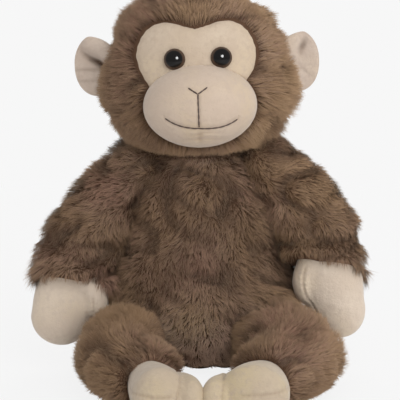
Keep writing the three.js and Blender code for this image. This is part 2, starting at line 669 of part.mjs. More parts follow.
// A furry sleeve, the cream mitt that comes out of it, and the one filling of both. The mitt's neck
// is open inside the sleeve, at a plane square to the mitt.
function sleeveAndMitt(name, [skinName, mittName], sleeve, mitt, lobe, rest, rooms) {
  const sleeveForm = (inset) => limb(sleeve, inset);
  const mittForm = (inset) => {
    const [centre, radii] = lobe;
    return limb(mitt, inset).add(ellipsoid(centre, radii.map((r) => r - inset)));
  };
  const along = mitt.spine[1].clone().sub(mitt.spine[0]).normalize();
  const turn = new THREE.Quaternion().setFromUnitVectors(vec(0, 0, 1), along);
  const neckPlane = (ahead) => {
    const origin = mitt.spine[0].clone().addScaledVector(along, ahead);
    const place = new THREE.Matrix4().compose(origin, turn, vec(1, 1, 1));
    return block(vec(-REACH, -REACH, -REACH), vec(REACH, REACH, 0)).transform(place.elements);
  };
  const outer = cutBy(sleeveForm(0), [sleeveForm(FABRIC), mittForm(-GAP), ...rest(0), ...rooms]);
  const glove = cutBy(mittForm(0), [mittForm(FABRIC), neckPlane(0), ...rest(0)]);
  const gloveRoom = mittForm(-GAP).subtract(neckPlane(-GAP));
  const fill = sleeveForm(FABRIC + GAP).subtract(gloveRoom).add(mittForm(FABRIC + GAP));
  monkey.add(mesh(`${name}_${skinName}`, outer, BROWN));
  monkey.add(mesh(`${name}_${mittName}`, glove, CREAM));
  monkey.add(mesh(
    `${name}_${skinName.replace("skin", "stuffing")}`,
    cutBy(fill, [...rest(FABRIC + GAP), ...rooms]),
    FIBRE,
  ));
}

for (const side of [-1, 1]) {
  const wrist = wristOf(side);
  const handEnd = vec(side * HAND_OUT, -HAND_FORWARD, HAND_BOTTOM + HAND_TIP);
  const mitt = {
    spine: [wrist, wrist.clone().lerp(handEnd, PALM_SHARE), handEnd],
    widths: [WRIST_HALF_WIDTH, HAND_HALF_WIDTH, HAND_END_HALF_WIDTH],
    depths: [WRIST_HALF_DEPTH, HAND_HALF_DEPTH, HAND_END_HALF_DEPTH],
    tip: HAND_TIP,
    depthAxis: vec(0, 1, 0),
  };
  const thumb = [
    [side * (HAND_OUT - THUMB_INWARD), -HAND_FORWARD - HAND_HALF_DEPTH / 2, THUMB_HEIGHT],
    [THUMB_RADIUS, THUMB_RADIUS, THUMB_LENGTH],
  ];
  const name = side > 0 ? "left" : "right";
  sleeveAndMitt(name, ["arm_skin", "hand_skin"], armSleeve(side), mitt, thumb, () => [], []);
}

// Legs lie on the floor. Each is kept out of the middle of the torso all the way through its swing.
const torsoCore = rod(LEG_CORE_RADIUS, -LEG_INNER_FACE - GAP, LEG_INNER_FACE + GAP, BODY_SIDES)
  .rotate([0, 90, 0])
  .translate(0, hip.y, hip.z);
for (const side of [-1, 1]) {
  const isLeft = side > 0;
  const kneeOut = isLeft ? LEFT_KNEE_OUT : RIGHT_KNEE_OUT;
  const ankleOut = isLeft ? LEFT_ANKLE_OUT : RIGHT_ANKLE_OUT;
  const footOut = isLeft ? LEFT_FOOT_OUT : RIGHT_FOOT_OUT;
  const at = (out, forward) => vec(side * out, -forward, hip.z);
  const ankle = at(ankleOut, ANKLE_FORWARD);
  const sleeve = {
    spine: [
      at(HIP_OUT, HIP_FORWARD),
      at((HIP_OUT + kneeOut) / 2 + THIGH_BOW, (HIP_FORWARD + KNEE_FORWARD) / 2),
      at(kneeOut, KNEE_FORWARD),
      at((kneeOut + ankleOut) / 2 + CALF_BOW, (KNEE_FORWARD + ANKLE_FORWARD) / 2 + CALF_REACH),
      ankle,
    ],
    widths: [LEG_RADIUS, LEG_RADIUS, LEG_RADIUS, CALF_RADIUS, ANKLE_RADIUS],
    depths: [LEG_RADIUS, LEG_RADIUS, LEG_RADIUS, CALF_RADIUS, ANKLE_RADIUS],
    tip: ANKLE_CAP,
    depthAxis: vec(0, 0, 1),
  };
  const soleHeight = FOOT_HALF_HEIGHT - REST_CUT;
  const toes = vec(side * footOut, -FOOT_FORWARD, soleHeight);
  const mitt = {
    spine: [ankle, toes.clone().lerp(ankle, INSTEP_SHARE), toes],
    widths: [HEEL_HALF_WIDTH, FOOT_HALF_WIDTH, FOOT_END_HALF_WIDTH],
    depths: [HEEL_HALF_HEIGHT, FOOT_HALF_HEIGHT, FOOT_HALF_HEIGHT],
    tip: FOOT_TIP,
    depthAxis: vec(0, 0, 1),
  };
  const bigToe = [
    [side * (footOut - TOE_INWARD), -FOOT_FORWARD, soleHeight],
    [TOE_RADIUS, TOE_LENGTH, TOE_LENGTH],
  ];
  const name = isLeft ? "left" : "right";
  sleeveAndMitt(name, ["leg_skin", "foot_skin"], sleeve, mitt, bigToe,
    (inset) => [floorInside(inset)], [torsoCore]);
}

export default monkey;
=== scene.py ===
import math

import bpy
import numpy as np
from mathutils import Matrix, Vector


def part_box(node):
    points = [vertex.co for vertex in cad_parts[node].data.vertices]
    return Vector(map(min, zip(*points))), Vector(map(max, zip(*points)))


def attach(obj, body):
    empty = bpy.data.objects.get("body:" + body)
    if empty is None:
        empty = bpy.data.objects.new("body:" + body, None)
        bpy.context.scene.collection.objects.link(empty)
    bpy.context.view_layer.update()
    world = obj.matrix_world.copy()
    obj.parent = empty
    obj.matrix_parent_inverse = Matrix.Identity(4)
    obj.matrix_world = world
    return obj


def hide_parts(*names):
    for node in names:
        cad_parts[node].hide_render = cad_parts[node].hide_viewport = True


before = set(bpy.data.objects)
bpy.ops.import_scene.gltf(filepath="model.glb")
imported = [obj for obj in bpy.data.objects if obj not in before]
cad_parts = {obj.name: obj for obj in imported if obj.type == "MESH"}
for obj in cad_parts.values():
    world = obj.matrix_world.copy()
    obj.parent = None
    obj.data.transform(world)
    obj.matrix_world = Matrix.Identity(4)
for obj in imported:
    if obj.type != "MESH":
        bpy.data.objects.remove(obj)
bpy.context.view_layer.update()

# The studio: the toy sits on a plain white sweep in soft light from above. The camera stands a
# little above its brow and looks down at its belly, close enough to crop the feet.
LOOK_AT = Vector((0.0, -0.030, 0.119))
CAMERA_DISTANCE = 0.95
CAMERA_RISE = math.radians(11)
LENS = 128.2
SENSOR = 36.0
SWEEP_WHITE = 0.93
SWEEP_REACH = 20.0
NEAR_FLOOR, FAR_FLOOR = 0.25, 0.7
NEAR_WHITE = 0.92
SKY_STRENGTH = 0.54

camera = bpy.data.objects.new("camera", bpy.data.cameras.new("camera"))
bpy.context.collection.objects.link(camera)
back = Vector((0, -math.cos(CAMERA_RISE), math.sin(CAMERA_RISE)))
camera.location = LOOK_AT + back * CAMERA_DISTANCE
camera.rotation_euler = (-back).to_track_quat("-Z", "Y").to_euler()
camera.data.lens = LENS
camera.data.sensor_width = SENSOR
bpy.context.scene.camera = camera
bpy.context.scene.view_settings.view_transform = "Standard"


class Wire:
    """One value in a shader. Arithmetic on it adds Math nodes, also with a number on the left."""

    def __init__(self, finish, socket):
        self.finish = finish
        self.socket = socket

    def maths(self, operation, *values):
        """Adds one Math node on the values."""
        return self.finish.node("Math", {"operation": operation}, dict(enumerate(values)))

    def __add__(self, other):
        return self.maths("ADD", self, other)

    def __sub__(self, other):
        return self.maths("SUBTRACT", self, other)

    def __rsub__(self, other):
        return self.maths("SUBTRACT", other, self)

    def __mul__(self, other):
        return self.maths("MULTIPLY", self, other)

    def __pow__(self, other):
        return self.maths("POWER", self, other)

    __radd__ = __add__
    __rmul__ = __mul__

    def within(self):
        """Keeps the value between 0 and 1."""
        return self.finish.node("Clamp", {}, {"Value": self})


class Finish:
    """A material under construction, or the world's nodes: constants go on its shader's own sockets."""

    def __init__(self, name, tree=None, **constants):
        if tree is None:
            self.material = bpy.data.materials.new(name)
            self.material.use_nodes = True
            tree = self.material.node_tree
            self.shader = tree.nodes["Principled BSDF"]
            for socket, value in constants.items():
                self.shader.inputs[socket.replace("_", " ")].default_value = value
        self.tree = tree

    def node(self, kind, settings, inputs, output=0):
        """Adds one node: its settings first, a ramp's stops among them, then its values and links."""
        made = self.tree.nodes.new("ShaderNode" + kind)
        for name, value in settings.items():
            if name == "stops":
                ramp = made.color_ramp.elements
                while len(ramp) < len(value):
                    ramp.new(0.5)
                for stop, (place, colour) in zip(ramp, value):
                    stop.position = place
                    stop.color = colour
            else:
                setattr(made, name, value)
        for socket, value in inputs.items():
            if isinstance(value, Wire):
                self.tree.links.new(value.socket, made.inputs[socket])
            else:
                made.inputs[socket].default_value = value
        return Wire(self, made.outputs[output])

    def mix(self, share, first, second):
        """Mixes two colours: sockets 6 and 7 of a Mix node are its colours, and output 2 the result."""
        return self.node("Mix", {"data_type": "RGBA"}, {0: share, 6: first, 7: second}, 2)

    def place(self):
        """Where a point lies, in the object's own metres: output 3 of Texture Coordinate."""
        return self.node("TexCoord", {}, {}, 3)

    def noise(self, scale, **more):
        """A smooth random pattern on that place, with features about 1 / scale of a metre wide."""
        return self.node("TexNoise", {}, {"Vector": self.place(), "Scale": scale, **more})

    def bump(self, height, strength, distance):
        return self.node("Bump", {}, {"Height": height, "Strength": strength, "Distance": distance})

    def feed(self, **wires):
        """Links wires to the shader's sockets, and returns the material."""
        for socket, wire in wires.items():
            self.tree.links.new(wire.socket, self.shader.inputs[socket.replace("_", " ")])
        return self.material


def linear(red, green, blue):
    """An 8-bit display colour as the linear one that shaders take."""
    return tuple((c / 255 / 12.92 if c < 11 else ((c / 255 + 0.055) / 1.055) ** 2.4)
                 for c in (red, green, blue)) + (1.0,)


def light_sweep():
    """The floor shows itself white to the camera and keeps part of its own shading near the toy."""
    colour = (SWEEP_WHITE, SWEEP_WHITE, SWEEP_WHITE, 1.0)
    floor = Finish("sweep", Roughness=1.0, Base_Color=colour)
    white = floor.node("Emission", {}, {"Color": colour})
    away = floor.node("VectorMath", {"operation": "LENGTH"}, {0: floor.place()}, 1)
    near = floor.node("MapRange", {}, {"Value": away, "From Min": NEAR_FLOOR, "From Max": FAR_FLOOR,
                                       "To Min": NEAR_WHITE, "To Max": 1.0})
    seen = floor.node("LightPath", {}, {}, 0)
    shader = floor.tree.nodes["Principled BSDF"].outputs[0]
    mixed = floor.node("MixShader", {}, {0: near * seen, 1: Wire(floor, shader), 2: white})
    floor.tree.links.new(mixed.socket, floor.tree.nodes["Material Output"].inputs["Surface"])
    return floor.material


def lamp(name, azimuth, rise, distance, side, share, mirrored=False):
    """A square area lamp. share is how bright it makes a white surface that faces it: an area lamp's
    light at a distance is power / (pi distance^2), and a white surface sends back 1 / pi of it. A
    mirrored lamp is round, shows in gloss and lights nothing else. The others don't show in gloss."""
    data = bpy.data.lights.new(name, "AREA")
    data.size = side
    data.shape = "DISK" if mirrored else "SQUARE"
    data.energy = share * (math.pi * distance) ** 2
    made = bpy.data.objects.new(name, data)
    a, e = math.radians(azimuth), math.radians(rise)
    way = Vector((math.sin(a) * math.cos(e), -math.cos(a) * math.cos(e), math.sin(e)))
    made.location = LOOK_AT + way * distance
    made.rotation_euler = (-way).to_track_quat("-Z", "Y").to_euler()
    made.visible_glossy = mirrored
    made.visible_diffuse = not mirrored
    bpy.context.collection.objects.link(made)


bpy.ops.mesh.primitive_plane_add(size=SWEEP_REACH)
sweep = bpy.context.object
sweep.name = "sweep"
sweep.data.materials.append(light_sweep())
lamp("top_lamp", 36, 46, 1.3, 1.3, 0.50)
lamp("back_lamp", 165, 40, 1.2, 0.8, 0.35)
lamp("front_lamp", 22, 12, 1.2, 1.0, 0.15)
lamp("eye_lamp", 14, 24, 1.1, 0.36, 0.9, mirrored=True)

bpy.context.scene.world = bpy.data.worlds.new("sky")
bpy.context.scene.world.use_nodes = True
sky = Finish("sky", tree=bpy.context.scene.world.node_tree)
paths = sky.node("LightPath", {}, {}, 0)
clear = Wire(sky, paths.socket.node.outputs["Is Transmission Ray"])
strength = SKY_STRENGTH + (SWEEP_WHITE - SKY_STRENGTH) * (paths + clear).within()
sky.tree.links.new(strength.socket, sky.tree.nodes["Background"].inputs["Strength"])
sky.tree.nodes["Background"].inputs["Color"].default_value = (1.0, 1.0, 1.0, 1.0)


# Torso: a pear of knitted backing with a long brown pile, filled with loose fibre over a pouch of
# pellets. It is sewn inside out and turned, and the pile is combed down over the belly.
MM = 0.001
TO_LEFT, TO_BACK, UP = np.eye(3)
PROFILE_ROWS = 46
BAG_COLUMNS = 72
TORSO_DEPTH_SHARE = 0.86
TORSO_HEIGHTS = [0, 0, 3, 12, 46, 101, 133, 144, 146, 146]
TORSO_RADII = [0, 27, 35, 46, 54, 46, 34, 27, 24, 0]
TORSO_INSIDE = ([0, 12, 46, 101, 133, 146], [36, 45, 51, 44, 33, 22])


def through(knots, share):
    """A smooth line through the knots: the Catmull-Rom cubic, from 0 at the first to 1 at the last."""
    knots = np.asarray(knots, float)
    place = np.clip(share, 0, 1) * (len(knots) - 1)
    i = np.clip(place.astype(int), 0, len(knots) - 2)
    t = (place - i)[:, None] if knots.ndim > 1 else place - i
    before, a, b, after = (knots[np.clip(i + k, 0, len(knots) - 1)] for k in (-1, 0, 1, 2))
    return 0.5 * (2 * a + (b - before) * t + (2 * before - 5 * a + 4 * b - after) * t**2
                  + (3 * a - before - 3 * b + after) * t**3)


def unit(vectors):
    """Vectors of length 1 in the same directions."""
    return vectors / np.maximum(np.linalg.norm(vectors, axis=-1, keepdims=True), 1e-9)


def beside(vectors, ways):
    """What is left of the vectors without their parts along those directions of length 1."""
    return vectors - ways * (vectors * ways).sum(1, keepdims=True)


def skin(start, rings, end):
    """A closed surface over a grid of rings, from one point at its start to one at its end: quads
    between the rings and a fan of triangles at each end. Returns its points and its faces."""
    rows, columns = rings.shape[:2]
    points = np.concatenate([start, rings.reshape(-1, 3), end])
    row, column = np.meshgrid(np.arange(rows - 1), np.arange(columns), indexing="ij")
    following = (column + 1) % columns
    quads = 1 + np.stack([row * columns + column, row * columns + following,
                          (row + 1) * columns + following, (row + 1) * columns + column], -1)
    j = np.arange(columns)
    top = 1 + (rows - 1) * columns
    first = np.stack([0 * j, 1 + (j + 1) % columns, 1 + j], -1)
    last = np.stack([top + j, top + (j + 1) % columns, 0 * j + len(points) - 1], -1)
    return points, quads.reshape(-1, 4).tolist() + first.tolist() + last.tolist()


def bag(centres, wide, deep, half_widths, half_depths, columns):
    """A closed bag. Ring i is the ellipse centre + half_width cos(a) wide + half_depth sin(a) deep,
    and the first and the last ring are single points."""
    a = np.arange(columns) * 2 * np.pi / columns
    wide, deep = (np.broadcast_to(way, centres.shape)[:, None] for way in (wide, deep))
    rings = (centres[:, None] + (half_widths[:, None] * np.cos(a))[..., None] * wide
             + (half_depths[:, None] * np.sin(a))[..., None] * deep)
    return skin(centres[:1], rings[1:-1], centres[-1:])


def profile(heights, radii):
    """The rings' centres, straight above each other, and their radii, on smooth lines through the
    knots. The radius is 0 at both ends."""
    share = np.linspace(0, 1, PROFILE_ROWS)
    radii = np.maximum(through(radii, share), 0)
    radii[[0, -1]] = 0
    return np.maximum(through(heights, share), 0)[:, None] * UP, radii


def placed(name, mesh, finish):
    """An object at the origin for a mesh, smooth and in its finish."""
    mesh.shade_smooth()
    mesh.materials.append(finish)
    made = bpy.data.objects.new(name, mesh)
    bpy.context.collection.objects.link(made)
    return made


def piece(name, points, faces, finish):
    """A mesh object from points in millimetres."""
    mesh = bpy.data.meshes.new(name)
    mesh.from_pydata((np.asarray(points) * MM).tolist(), [], faces)
    return placed(name, mesh, finish)


def points_of(mesh):
    """The mesh's points in millimetres."""
    co = np.empty(len(mesh.vertices) * 3, np.float32)
    mesh.vertices.foreach_get("co", co)
    return co.reshape(-1, 3).astype(float) / MM


def move_points(mesh, points):
    """Puts the mesh's points at places in millimetres."""
    mesh.vertices.foreach_set("co", (points * MM).astype(np.float32).ravel())


def settle(made):
    """Makes the object's modifiers part of its mesh."""
    graph = bpy.context.evaluated_depsgraph_get()
    done = bpy.data.meshes.new_from_object(made.evaluated_get(graph))
    made.modifiers.clear()
    made.data = done


def remeshed(made, voxel, rounds):
    """Joins what overlaps in a piece into one skin of cubes of that size, and smooths it."""
    cubes = made.modifiers.new("cubes", "REMESH")
    cubes.mode = "VOXEL"
    cubes.voxel_size = voxel * MM
    even = made.modifiers.new("even", "SMOOTH")
    even.iterations = rounds
    settle(made)
    made.data.shade_smooth()


FILL_PRESSURE = 4
FILL_FRAMES = 20


def stuff(made, cap, sewn):
    """Fills a closed piece: Cloth under inner pressure, held along its seams, no point further than
    cap from where it was. sewn is a function from points to a mask of those on a seam."""
    rest = points_of(made.data)
    seam = made.vertex_groups.new(name="seam")
    seam.add(np.flatnonzero(sewn(rest)).tolist(), 1.0, "REPLACE")
    cloth = made.modifiers.new("fill", "CLOTH")
    cloth.settings.use_pressure = True
    cloth.settings.uniform_pressure_force = FILL_PRESSURE
    cloth.settings.effector_weights.gravity = 0
    cloth.settings.vertex_group_mass = "seam"
    for number in range(1, FILL_FRAMES + 1):
        bpy.context.scene.frame_set(number)
    settle(made)
    made.vertex_groups.clear()
    moved = points_of(made.data) - rest
    far = np.linalg.norm(moved, axis=1, keepdims=True)
    move_points(made.data, rest + moved * np.minimum(1, cap / np.maximum(far, 1e-9)))
    bpy.context.scene.frame_set(1)
    finer = made.modifiers.new("finer", "SUBSURF")
    finer.levels = 1
    finer.render_levels = 1
    settle(made)


def waves(points, length, seed):
    """A smooth field from about -1 to 1: the mean of seven sine waves that run in random directions."""
    rng = np.random.default_rng(seed)
    ways = unit(rng.normal(size=(7, 3))) * (2 * np.pi / (length * rng.uniform(0.7, 1.4, (7, 1))))
    return np.sin(points @ ways.T + rng.uniform(0, 2 * np.pi, 7)).mean(1) * 2.2


LUMP = 4.0
ROLL_SIZE = 38.0
FADE_SIZE = 42
FLAT_ROLLS = (0.6, 0.6, 1.3)


def creases(p, seed, squeeze, breadth=0.5):
    """The brushed pile stands in soft rolls, and a meandering crease runs where a slow field changes
    sign, as broad as the band in which the field is less than `breadth`. Returns how deep each point
    lies in a crease: 0 on a roll, 1 in the bottom of a crease, and less where it fades out."""
    field = waves(p * squeeze, ROLL_SIZE, seed)
    whole = np.clip(0.7 + 0.9 * waves(p, FADE_SIZE, seed + 50), 0.15, 1)
    return whole * np.clip(1 - np.abs(field) / breadth, 0, 1)


def tufts(points, size, seed):
    """The tuft that each point belongs to: space is cut in cubes of that size, each with one centre
    at a random place in it, and a point belongs to the nearest. Returns its centre, four random
    numbers of its own and how deep the point lies in it, from 0 at its edge."""
    cell = np.floor(points / size).astype(np.int64)
    near = np.full(len(points), np.inf)
    second = near.copy()
    centre = np.zeros_like(points)
    numbers = np.zeros((len(points), 4))

    def scattered(cube):
        mixed = cube[:, 0] * 73856093 ^ cube[:, 1] * 19349663 ^ cube[:, 2] * 83492791 ^ seed * 2654435
        for shift in range(7):
            mixed = (mixed ^ (mixed >> 13)) * 1274126177 & 0xFFFFFFFF
            mixed = mixed ^ (mixed >> (11 + shift))
            yield (mixed & 0xFFFFFF) / float(1 << 24)

    for step in np.ndindex(3, 3, 3):
        cube = cell + np.array(step) - 1
        randoms = np.stack(list(scattered(cube)), -1)
        place = (cube + randoms[:, :3]) * size
        far = np.linalg.norm(points - place, axis=1)
        nearer = far < near
        second = np.where(nearer, near, np.minimum(second, far))
        near = np.where(nearer, far, near)
        centre[nearer] = place[nearer]
        numbers[nearer] = randoms[nearer, 3:]
    return centre, numbers, np.clip((second - near) / size, 0, 1)


def normals_of(mesh):
    """The normals at the mesh's points."""
    normals = np.empty(len(mesh.vertices) * 3, np.float32)
    mesh.vertices.foreach_get("normal", normals)
    return normals.reshape(-1, 3).astype(float)


def put_back(made, points):
    """Gives the piece's points new places, none of them under the floor."""
    points[:, 2] = np.maximum(points[:, 2], 0.2)
    move_points(made.data, points)
    made.data.update()


def creased(made, seed, squeeze=FLAT_ROLLS, share=lambda p: 1):
    """Sinks a piece's points along their normals where its creases run, by a share of their depth."""
    points = points_of(made.data)
    sunk = LUMP * (creases(points, seed, squeeze) - 0.3) * share(points)
    put_back(made, points - normals_of(made.data) * sunk[:, None])


ROOT_SPACING = 0.73


def roots_on(made, seed, keep):
    """Points and normals scattered evenly over a mesh, about one for each square of the root spacing,
    where keep says so."""
    mesh = made.data
    mesh.calc_loop_triangles()
    corners = np.empty(len(mesh.loop_triangles) * 3, np.int32)
    mesh.loop_triangles.foreach_get("vertices", corners)
    corners = corners.reshape(-1, 3)
    normals = normals_of(mesh)
    points = points_of(mesh)
    a, b, c = (points[corners[:, k]] for k in range(3))
    areas = np.linalg.norm(np.cross(b - a, c - a), axis=1) / 2
    rng = np.random.default_rng(seed)
    count = int(areas.sum() / ROOT_SPACING**2)
    chosen = np.searchsorted(np.cumsum(areas) / areas.sum(), rng.random(count))
    chosen = np.minimum(chosen, len(areas) - 1)
    r, s = np.sqrt(rng.random((count, 1))), rng.random((count, 1))
    shares = np.concatenate([1 - r, r * (1 - s), r * s], 1)
    place = (points[corners[chosen]] * shares[..., None]).sum(1)
    normal = unit((normals[corners[chosen]] * shares[..., None]).sum(1))
    kept = keep(place)
    return place[kept], normal[kept]


PILE_WIDTH = 0.34
PILE_WIDTHS = (0.9, 0.85)
PILE_THICKNESS = 0.05
TUFT_SIZE = 11.0
WISP_SIZE = 2.2
FLOOR_CLEARANCE = 0.5
HUES = 3


def pile(name, roots, normals, flow, length, seed, finish, body, parts=1, upright=0.45, flat=1.15,
         rolls=None, squeeze=FLAT_ROLLS, tone_and_painted_light=0.0, warmth=0.0):
    """Fur as real strands. Each is a thin blade of six faces, three outside and three inside, that
    bends once: its direction turns from `upright` to `flat` radians off the normal, along an arc,
    as it follows the combing `flow`, which wanders. Tufts and, in them, wisps draw the tips together,
    each with its own lift, turn and tone. The pile is short in the creases of the seed `rolls`, with
    painted shade over them and a painted highlight on the rolls between. The UV map holds one of three
    hues and the tone across, and the share of the length up, which is all that the colour depends on.
    The strands are parted in equal pieces from the front to the back."""
    rng = np.random.default_rng(seed)
    big, of_tuft, depth = tufts(roots, TUFT_SIZE, seed + 1)
    small, of_wisp, _ = tufts(roots, WISP_SIZE, seed + 2)
    count = len(roots)
    along = unit(beside(flow, normals))
    crease = creases(roots, rolls, squeeze) if rolls else np.zeros(count)
    side = np.cross(normals, along)
    turn = ((of_tuft[:, 0] - 0.5) * 0.35 + (of_wisp[:, 0] - 0.5) * 0.3 + rng.normal(0, 0.2, count)
            + 0.45 * waves(roots, 30, seed + 3) + 0.35 * waves(roots, 11, seed + 7))[:, None]
    along = along * np.cos(turn) + side * np.sin(turn)
    lift = (0.16 * (of_tuft[:, 1] - 0.5) + 0.12 * (of_wisp[:, 1] - 0.5)
            + 0.15 * waves(roots, 9, seed + 8) + 0.10 - 0.25 * crease)
    start = np.clip(upright - lift + rng.normal(0, 0.08, count), 0.05, 1.25)
    end = np.clip(flat - lift + rng.normal(0, 0.08, count), start + 0.12, 1.62)
    size = length * (0.88 + 0.2 * of_tuft[:, 2]) * (0.9 + 0.2 * of_wisp[:, 2])
    size = size * rng.uniform(0.78, 1.18, count) * (1 - 0.35 * crease)
    to_big, to_small = (beside(centre - roots, normals) for centre in (big, small))
    t = np.array([0.0, 0.5, 1.0])[None, :, None]
    first, last, size = (values[:, None, None] for values in (start, end, size))
    angle = first + (last - first) * t
    rate = size / (last - first)
    line = (roots[:, None] + normals[:, None] * rate * (np.sin(angle) - np.sin(first))
            + along[:, None] * rate * (np.cos(first) - np.cos(angle))
            + (to_big[:, None] * 0.10 + to_small[:, None] * 0.27) * t**1.4)
    line[:, 1] += side * rng.normal(0, 0.35, (count, 1))
    line[..., 2] = np.maximum(line[..., 2], FLOOR_CLEARANCE)
    root, bend, tip = line[:, 0], line[:, 1], line[:, 2]
    tangent = unit(tip - root)
    across = unit(np.cross(tangent, normals))
    facing = np.cross(across, tangent)
    roll = rng.normal(0, 0.35, (count, 1))
    turned = across * np.cos(roll) + facing * np.sin(roll)
    across, facing = turned, np.cross(turned, tangent)
    half = (PILE_WIDTH / 2 * rng.uniform(0.7, 1.3, count))[:, None] * across
    broad, narrow = (half * share for share in PILE_WIDTHS)
    inner = facing * PILE_THICKNESS
    points = np.stack([root - broad, root + broad, root + broad - inner, bend - narrow,
                       bend + narrow, bend + narrow - inner, tip], 1)
    rounding = unit(roots - big) * np.clip(1 - depth, 0, 1)[:, None]
    shading = np.repeat(unit(normals + 0.22 * rounding + 0.3 * facing)[:, None], 7, 1)
    # The tone differs at random, plus a shift from the caller that holds both its own tone and painted
    # light and shade.
    tone = (0.5 + 0.08 * (of_tuft[:, 3] - 0.5) + 0.05 * (of_wisp[:, 3] - 0.5)
            + rng.normal(0, 0.045, count) + 0.09 * waves(roots, 36, seed + 4) + tone_and_painted_light)[:, None]
    # Painted shade darkens the strands where they lie over a crease, and a painted highlight lightens
    # them on the rolls.
    if rolls:
        over = creases(line.reshape(-1, 3), rolls, squeeze, 0.34).reshape(count, 3)
        tone = tone + 0.12 * (1 - over) - 0.62 * over**1.2
    tone = np.broadcast_to(np.clip(tone, 0.04, 0.96), (count, 3))[:, [0, 0, 0, 1, 1, 1, 2]]
    hue = 0.9 * waves(roots, 55, seed + 6) + rng.normal(0, 0.35, count) + warmth
    band = 1 + (hue < -0.5) - (hue > 0.35)
    sides = np.array([-1, 1, 1, -1, 1, 1, 0]) * 0.006
    ups = np.broadcast_to([0, 0, 0, 0.5, 0.5, 0.5, 1], (count, 7))
    uv = np.stack([(band[:, None] + tone + sides) / HUES, ups], -1)
    fan = np.array([0, 1, 4, 0, 4, 3, 3, 4, 6, 2, 0, 3, 2, 3, 5, 5, 3, 6])
    order = np.argsort(roots[:, 1], kind="stable")
    for number, chosen in enumerate(np.array_split(order, parts), 1):
        corners = (np.arange(len(chosen))[:, None] * 7 + fan).ravel().astype(np.int32)
        mesh = bpy.data.meshes.new(name)
        mesh.vertices.add(len(chosen) * 7)
        move_points(mesh, points[chosen])
        mesh.loops.add(len(corners))
        mesh.loops.foreach_set("vertex_index", corners)
        mesh.polygons.add(len(corners) // 3)
        mesh.polygons.foreach_set("loop_start", np.arange(0, len(corners), 3, dtype=np.int32))
        on_map = uv[chosen].reshape(-1, 2)[corners].astype(np.float32)
        mesh.uv_layers.new(name="OFBake").data.foreach_set("uv", on_map.ravel())
        mesh.update(calc_edges=True)
        made = placed(f"{name}_{number}", mesh, finish)
        mesh.attributes.new("custom_normal", "FLOAT_VECTOR", "POINT").data.foreach_set(
            "vector", shading[chosen].astype(np.float32).ravel())
        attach(made, body)


def pile_finish(name, root, hues, tip):
    """Dyed polyester pile: painted shade darkens it towards its roots, and it is paler at its worn tips.
    Side by side across the UV map lie the hues of the dye, each in tones from dark to light. It is dull,
    with the faint sheen of brushed fibre."""
    fur = Finish(name, Roughness=0.75, Specular_IOR_Level=0.25, Sheen_Weight=0.35, Sheen_Roughness=0.5,
                 Sheen_Tint=(1.0, 0.74, 0.5, 1.0))
    place = fur.node("UVMap", {"uv_map": "OFBake"}, {})
    tone, up = (fur.node("SeparateXYZ", {}, {0: place}, axis) for axis in (0, 1))
    stops = [((number + share) / HUES, linear(*colour)) for number, hue in enumerate(hues)
             for share, colour in zip(TONES, hue)]
    body = fur.node("ValToRGB", {"stops": stops}, {"Fac": tone})
    tipped = fur.mix(up**3 * 0.5, body, tip)
    # Painted shade darkens the pile towards its roots.
    return fur.feed(Base_Color=fur.mix((1 - up) ** 1.6 * 0.5, tipped, root))


def backing_finish():
    """The knitted backing under the pile, dark between the roots."""
    knit = Finish("brown_backing", Roughness=0.95, Specular_IOR_Level=0.1)
    colour = knit.mix(knit.noise(180.0, Detail=3.0), linear(80, 58, 44), linear(108, 82, 64))
    return knit.feed(Base_Color=colour, Normal=knit.bump(knit.noise(1400.0), 0.5, 0.0006))


brown_backing = backing_finish()
TONES = (0.0, 0.3, 0.55, 0.75, 0.995)
TAN = ((84, 61, 43), (120, 91, 67), (148, 117, 87), (167, 134, 101), (188, 158, 122))
BROWN = ((83, 61, 46), (118, 90, 70), (145, 115, 92), (163, 131, 107), (185, 155, 130))
ROSE = ((88, 61, 49), (125, 90, 74), (152, 114, 96), (170, 131, 111), (190, 154, 133))
# The first colour is the painted shade towards the roots, the last the paler tips.
brown_pile = pile_finish("brown_pile", linear(74, 52, 38), [TAN, BROWN, ROSE], linear(190, 158, 126))

centres, radii = profile(TORSO_HEIGHTS, TORSO_RADII)
hips = 1 + 0.135 * np.exp(-((through(TORSO_HEIGHTS, np.linspace(0, 1, PROFILE_ROWS)) - 48) / 28) ** 2)
torso = piece("torso_padding", *bag(centres, TO_LEFT, TO_BACK, radii * hips,
                                    radii * TORSO_DEPTH_SHARE, BAG_COLUMNS), brown_backing)
stuff(torso, 1.5, lambda p: (p[:, 2] < 4) | (np.abs(p[:, 0]) < 2) | (p[:, 2] > 142))
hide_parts("torso_skin", "torso_stuffing", "seat_bean_bag")
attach(torso, "torso")


def in_torso(p, depth):
    """True for points that lie deeper than that in the torso, whose sewn half width is given by
    heights and radii."""
    r = np.maximum(np.interp(p[:, 2], *TORSO_INSIDE) - depth, 1)
    return (p[:, 0] / r) ** 2 + (p[:, 1] / (r * TORSO_DEPTH_SHARE)) ** 2 < 1


def near_floor(p):
    """Pile that would be pressed on the floor is short."""
    return np.clip(p[:, 2] / 12, 0.3, 1)


def belly_flow(p):
    """Down, fanning out a little to the sides, with a slow sideways sway, and outwards at the floor."""
    sway = 0.45 * waves(p, 55, 11)
    down = np.clip((p[:, 2] - 5) / 14, -0.1, 1)
    return np.stack([(0.25 + 0.8 * (1 - down)) * p[:, 0] / 50 + sway,
                     -0.15 + 0.9 * (1 - down) * p[:, 1] / 45, -down], -1)


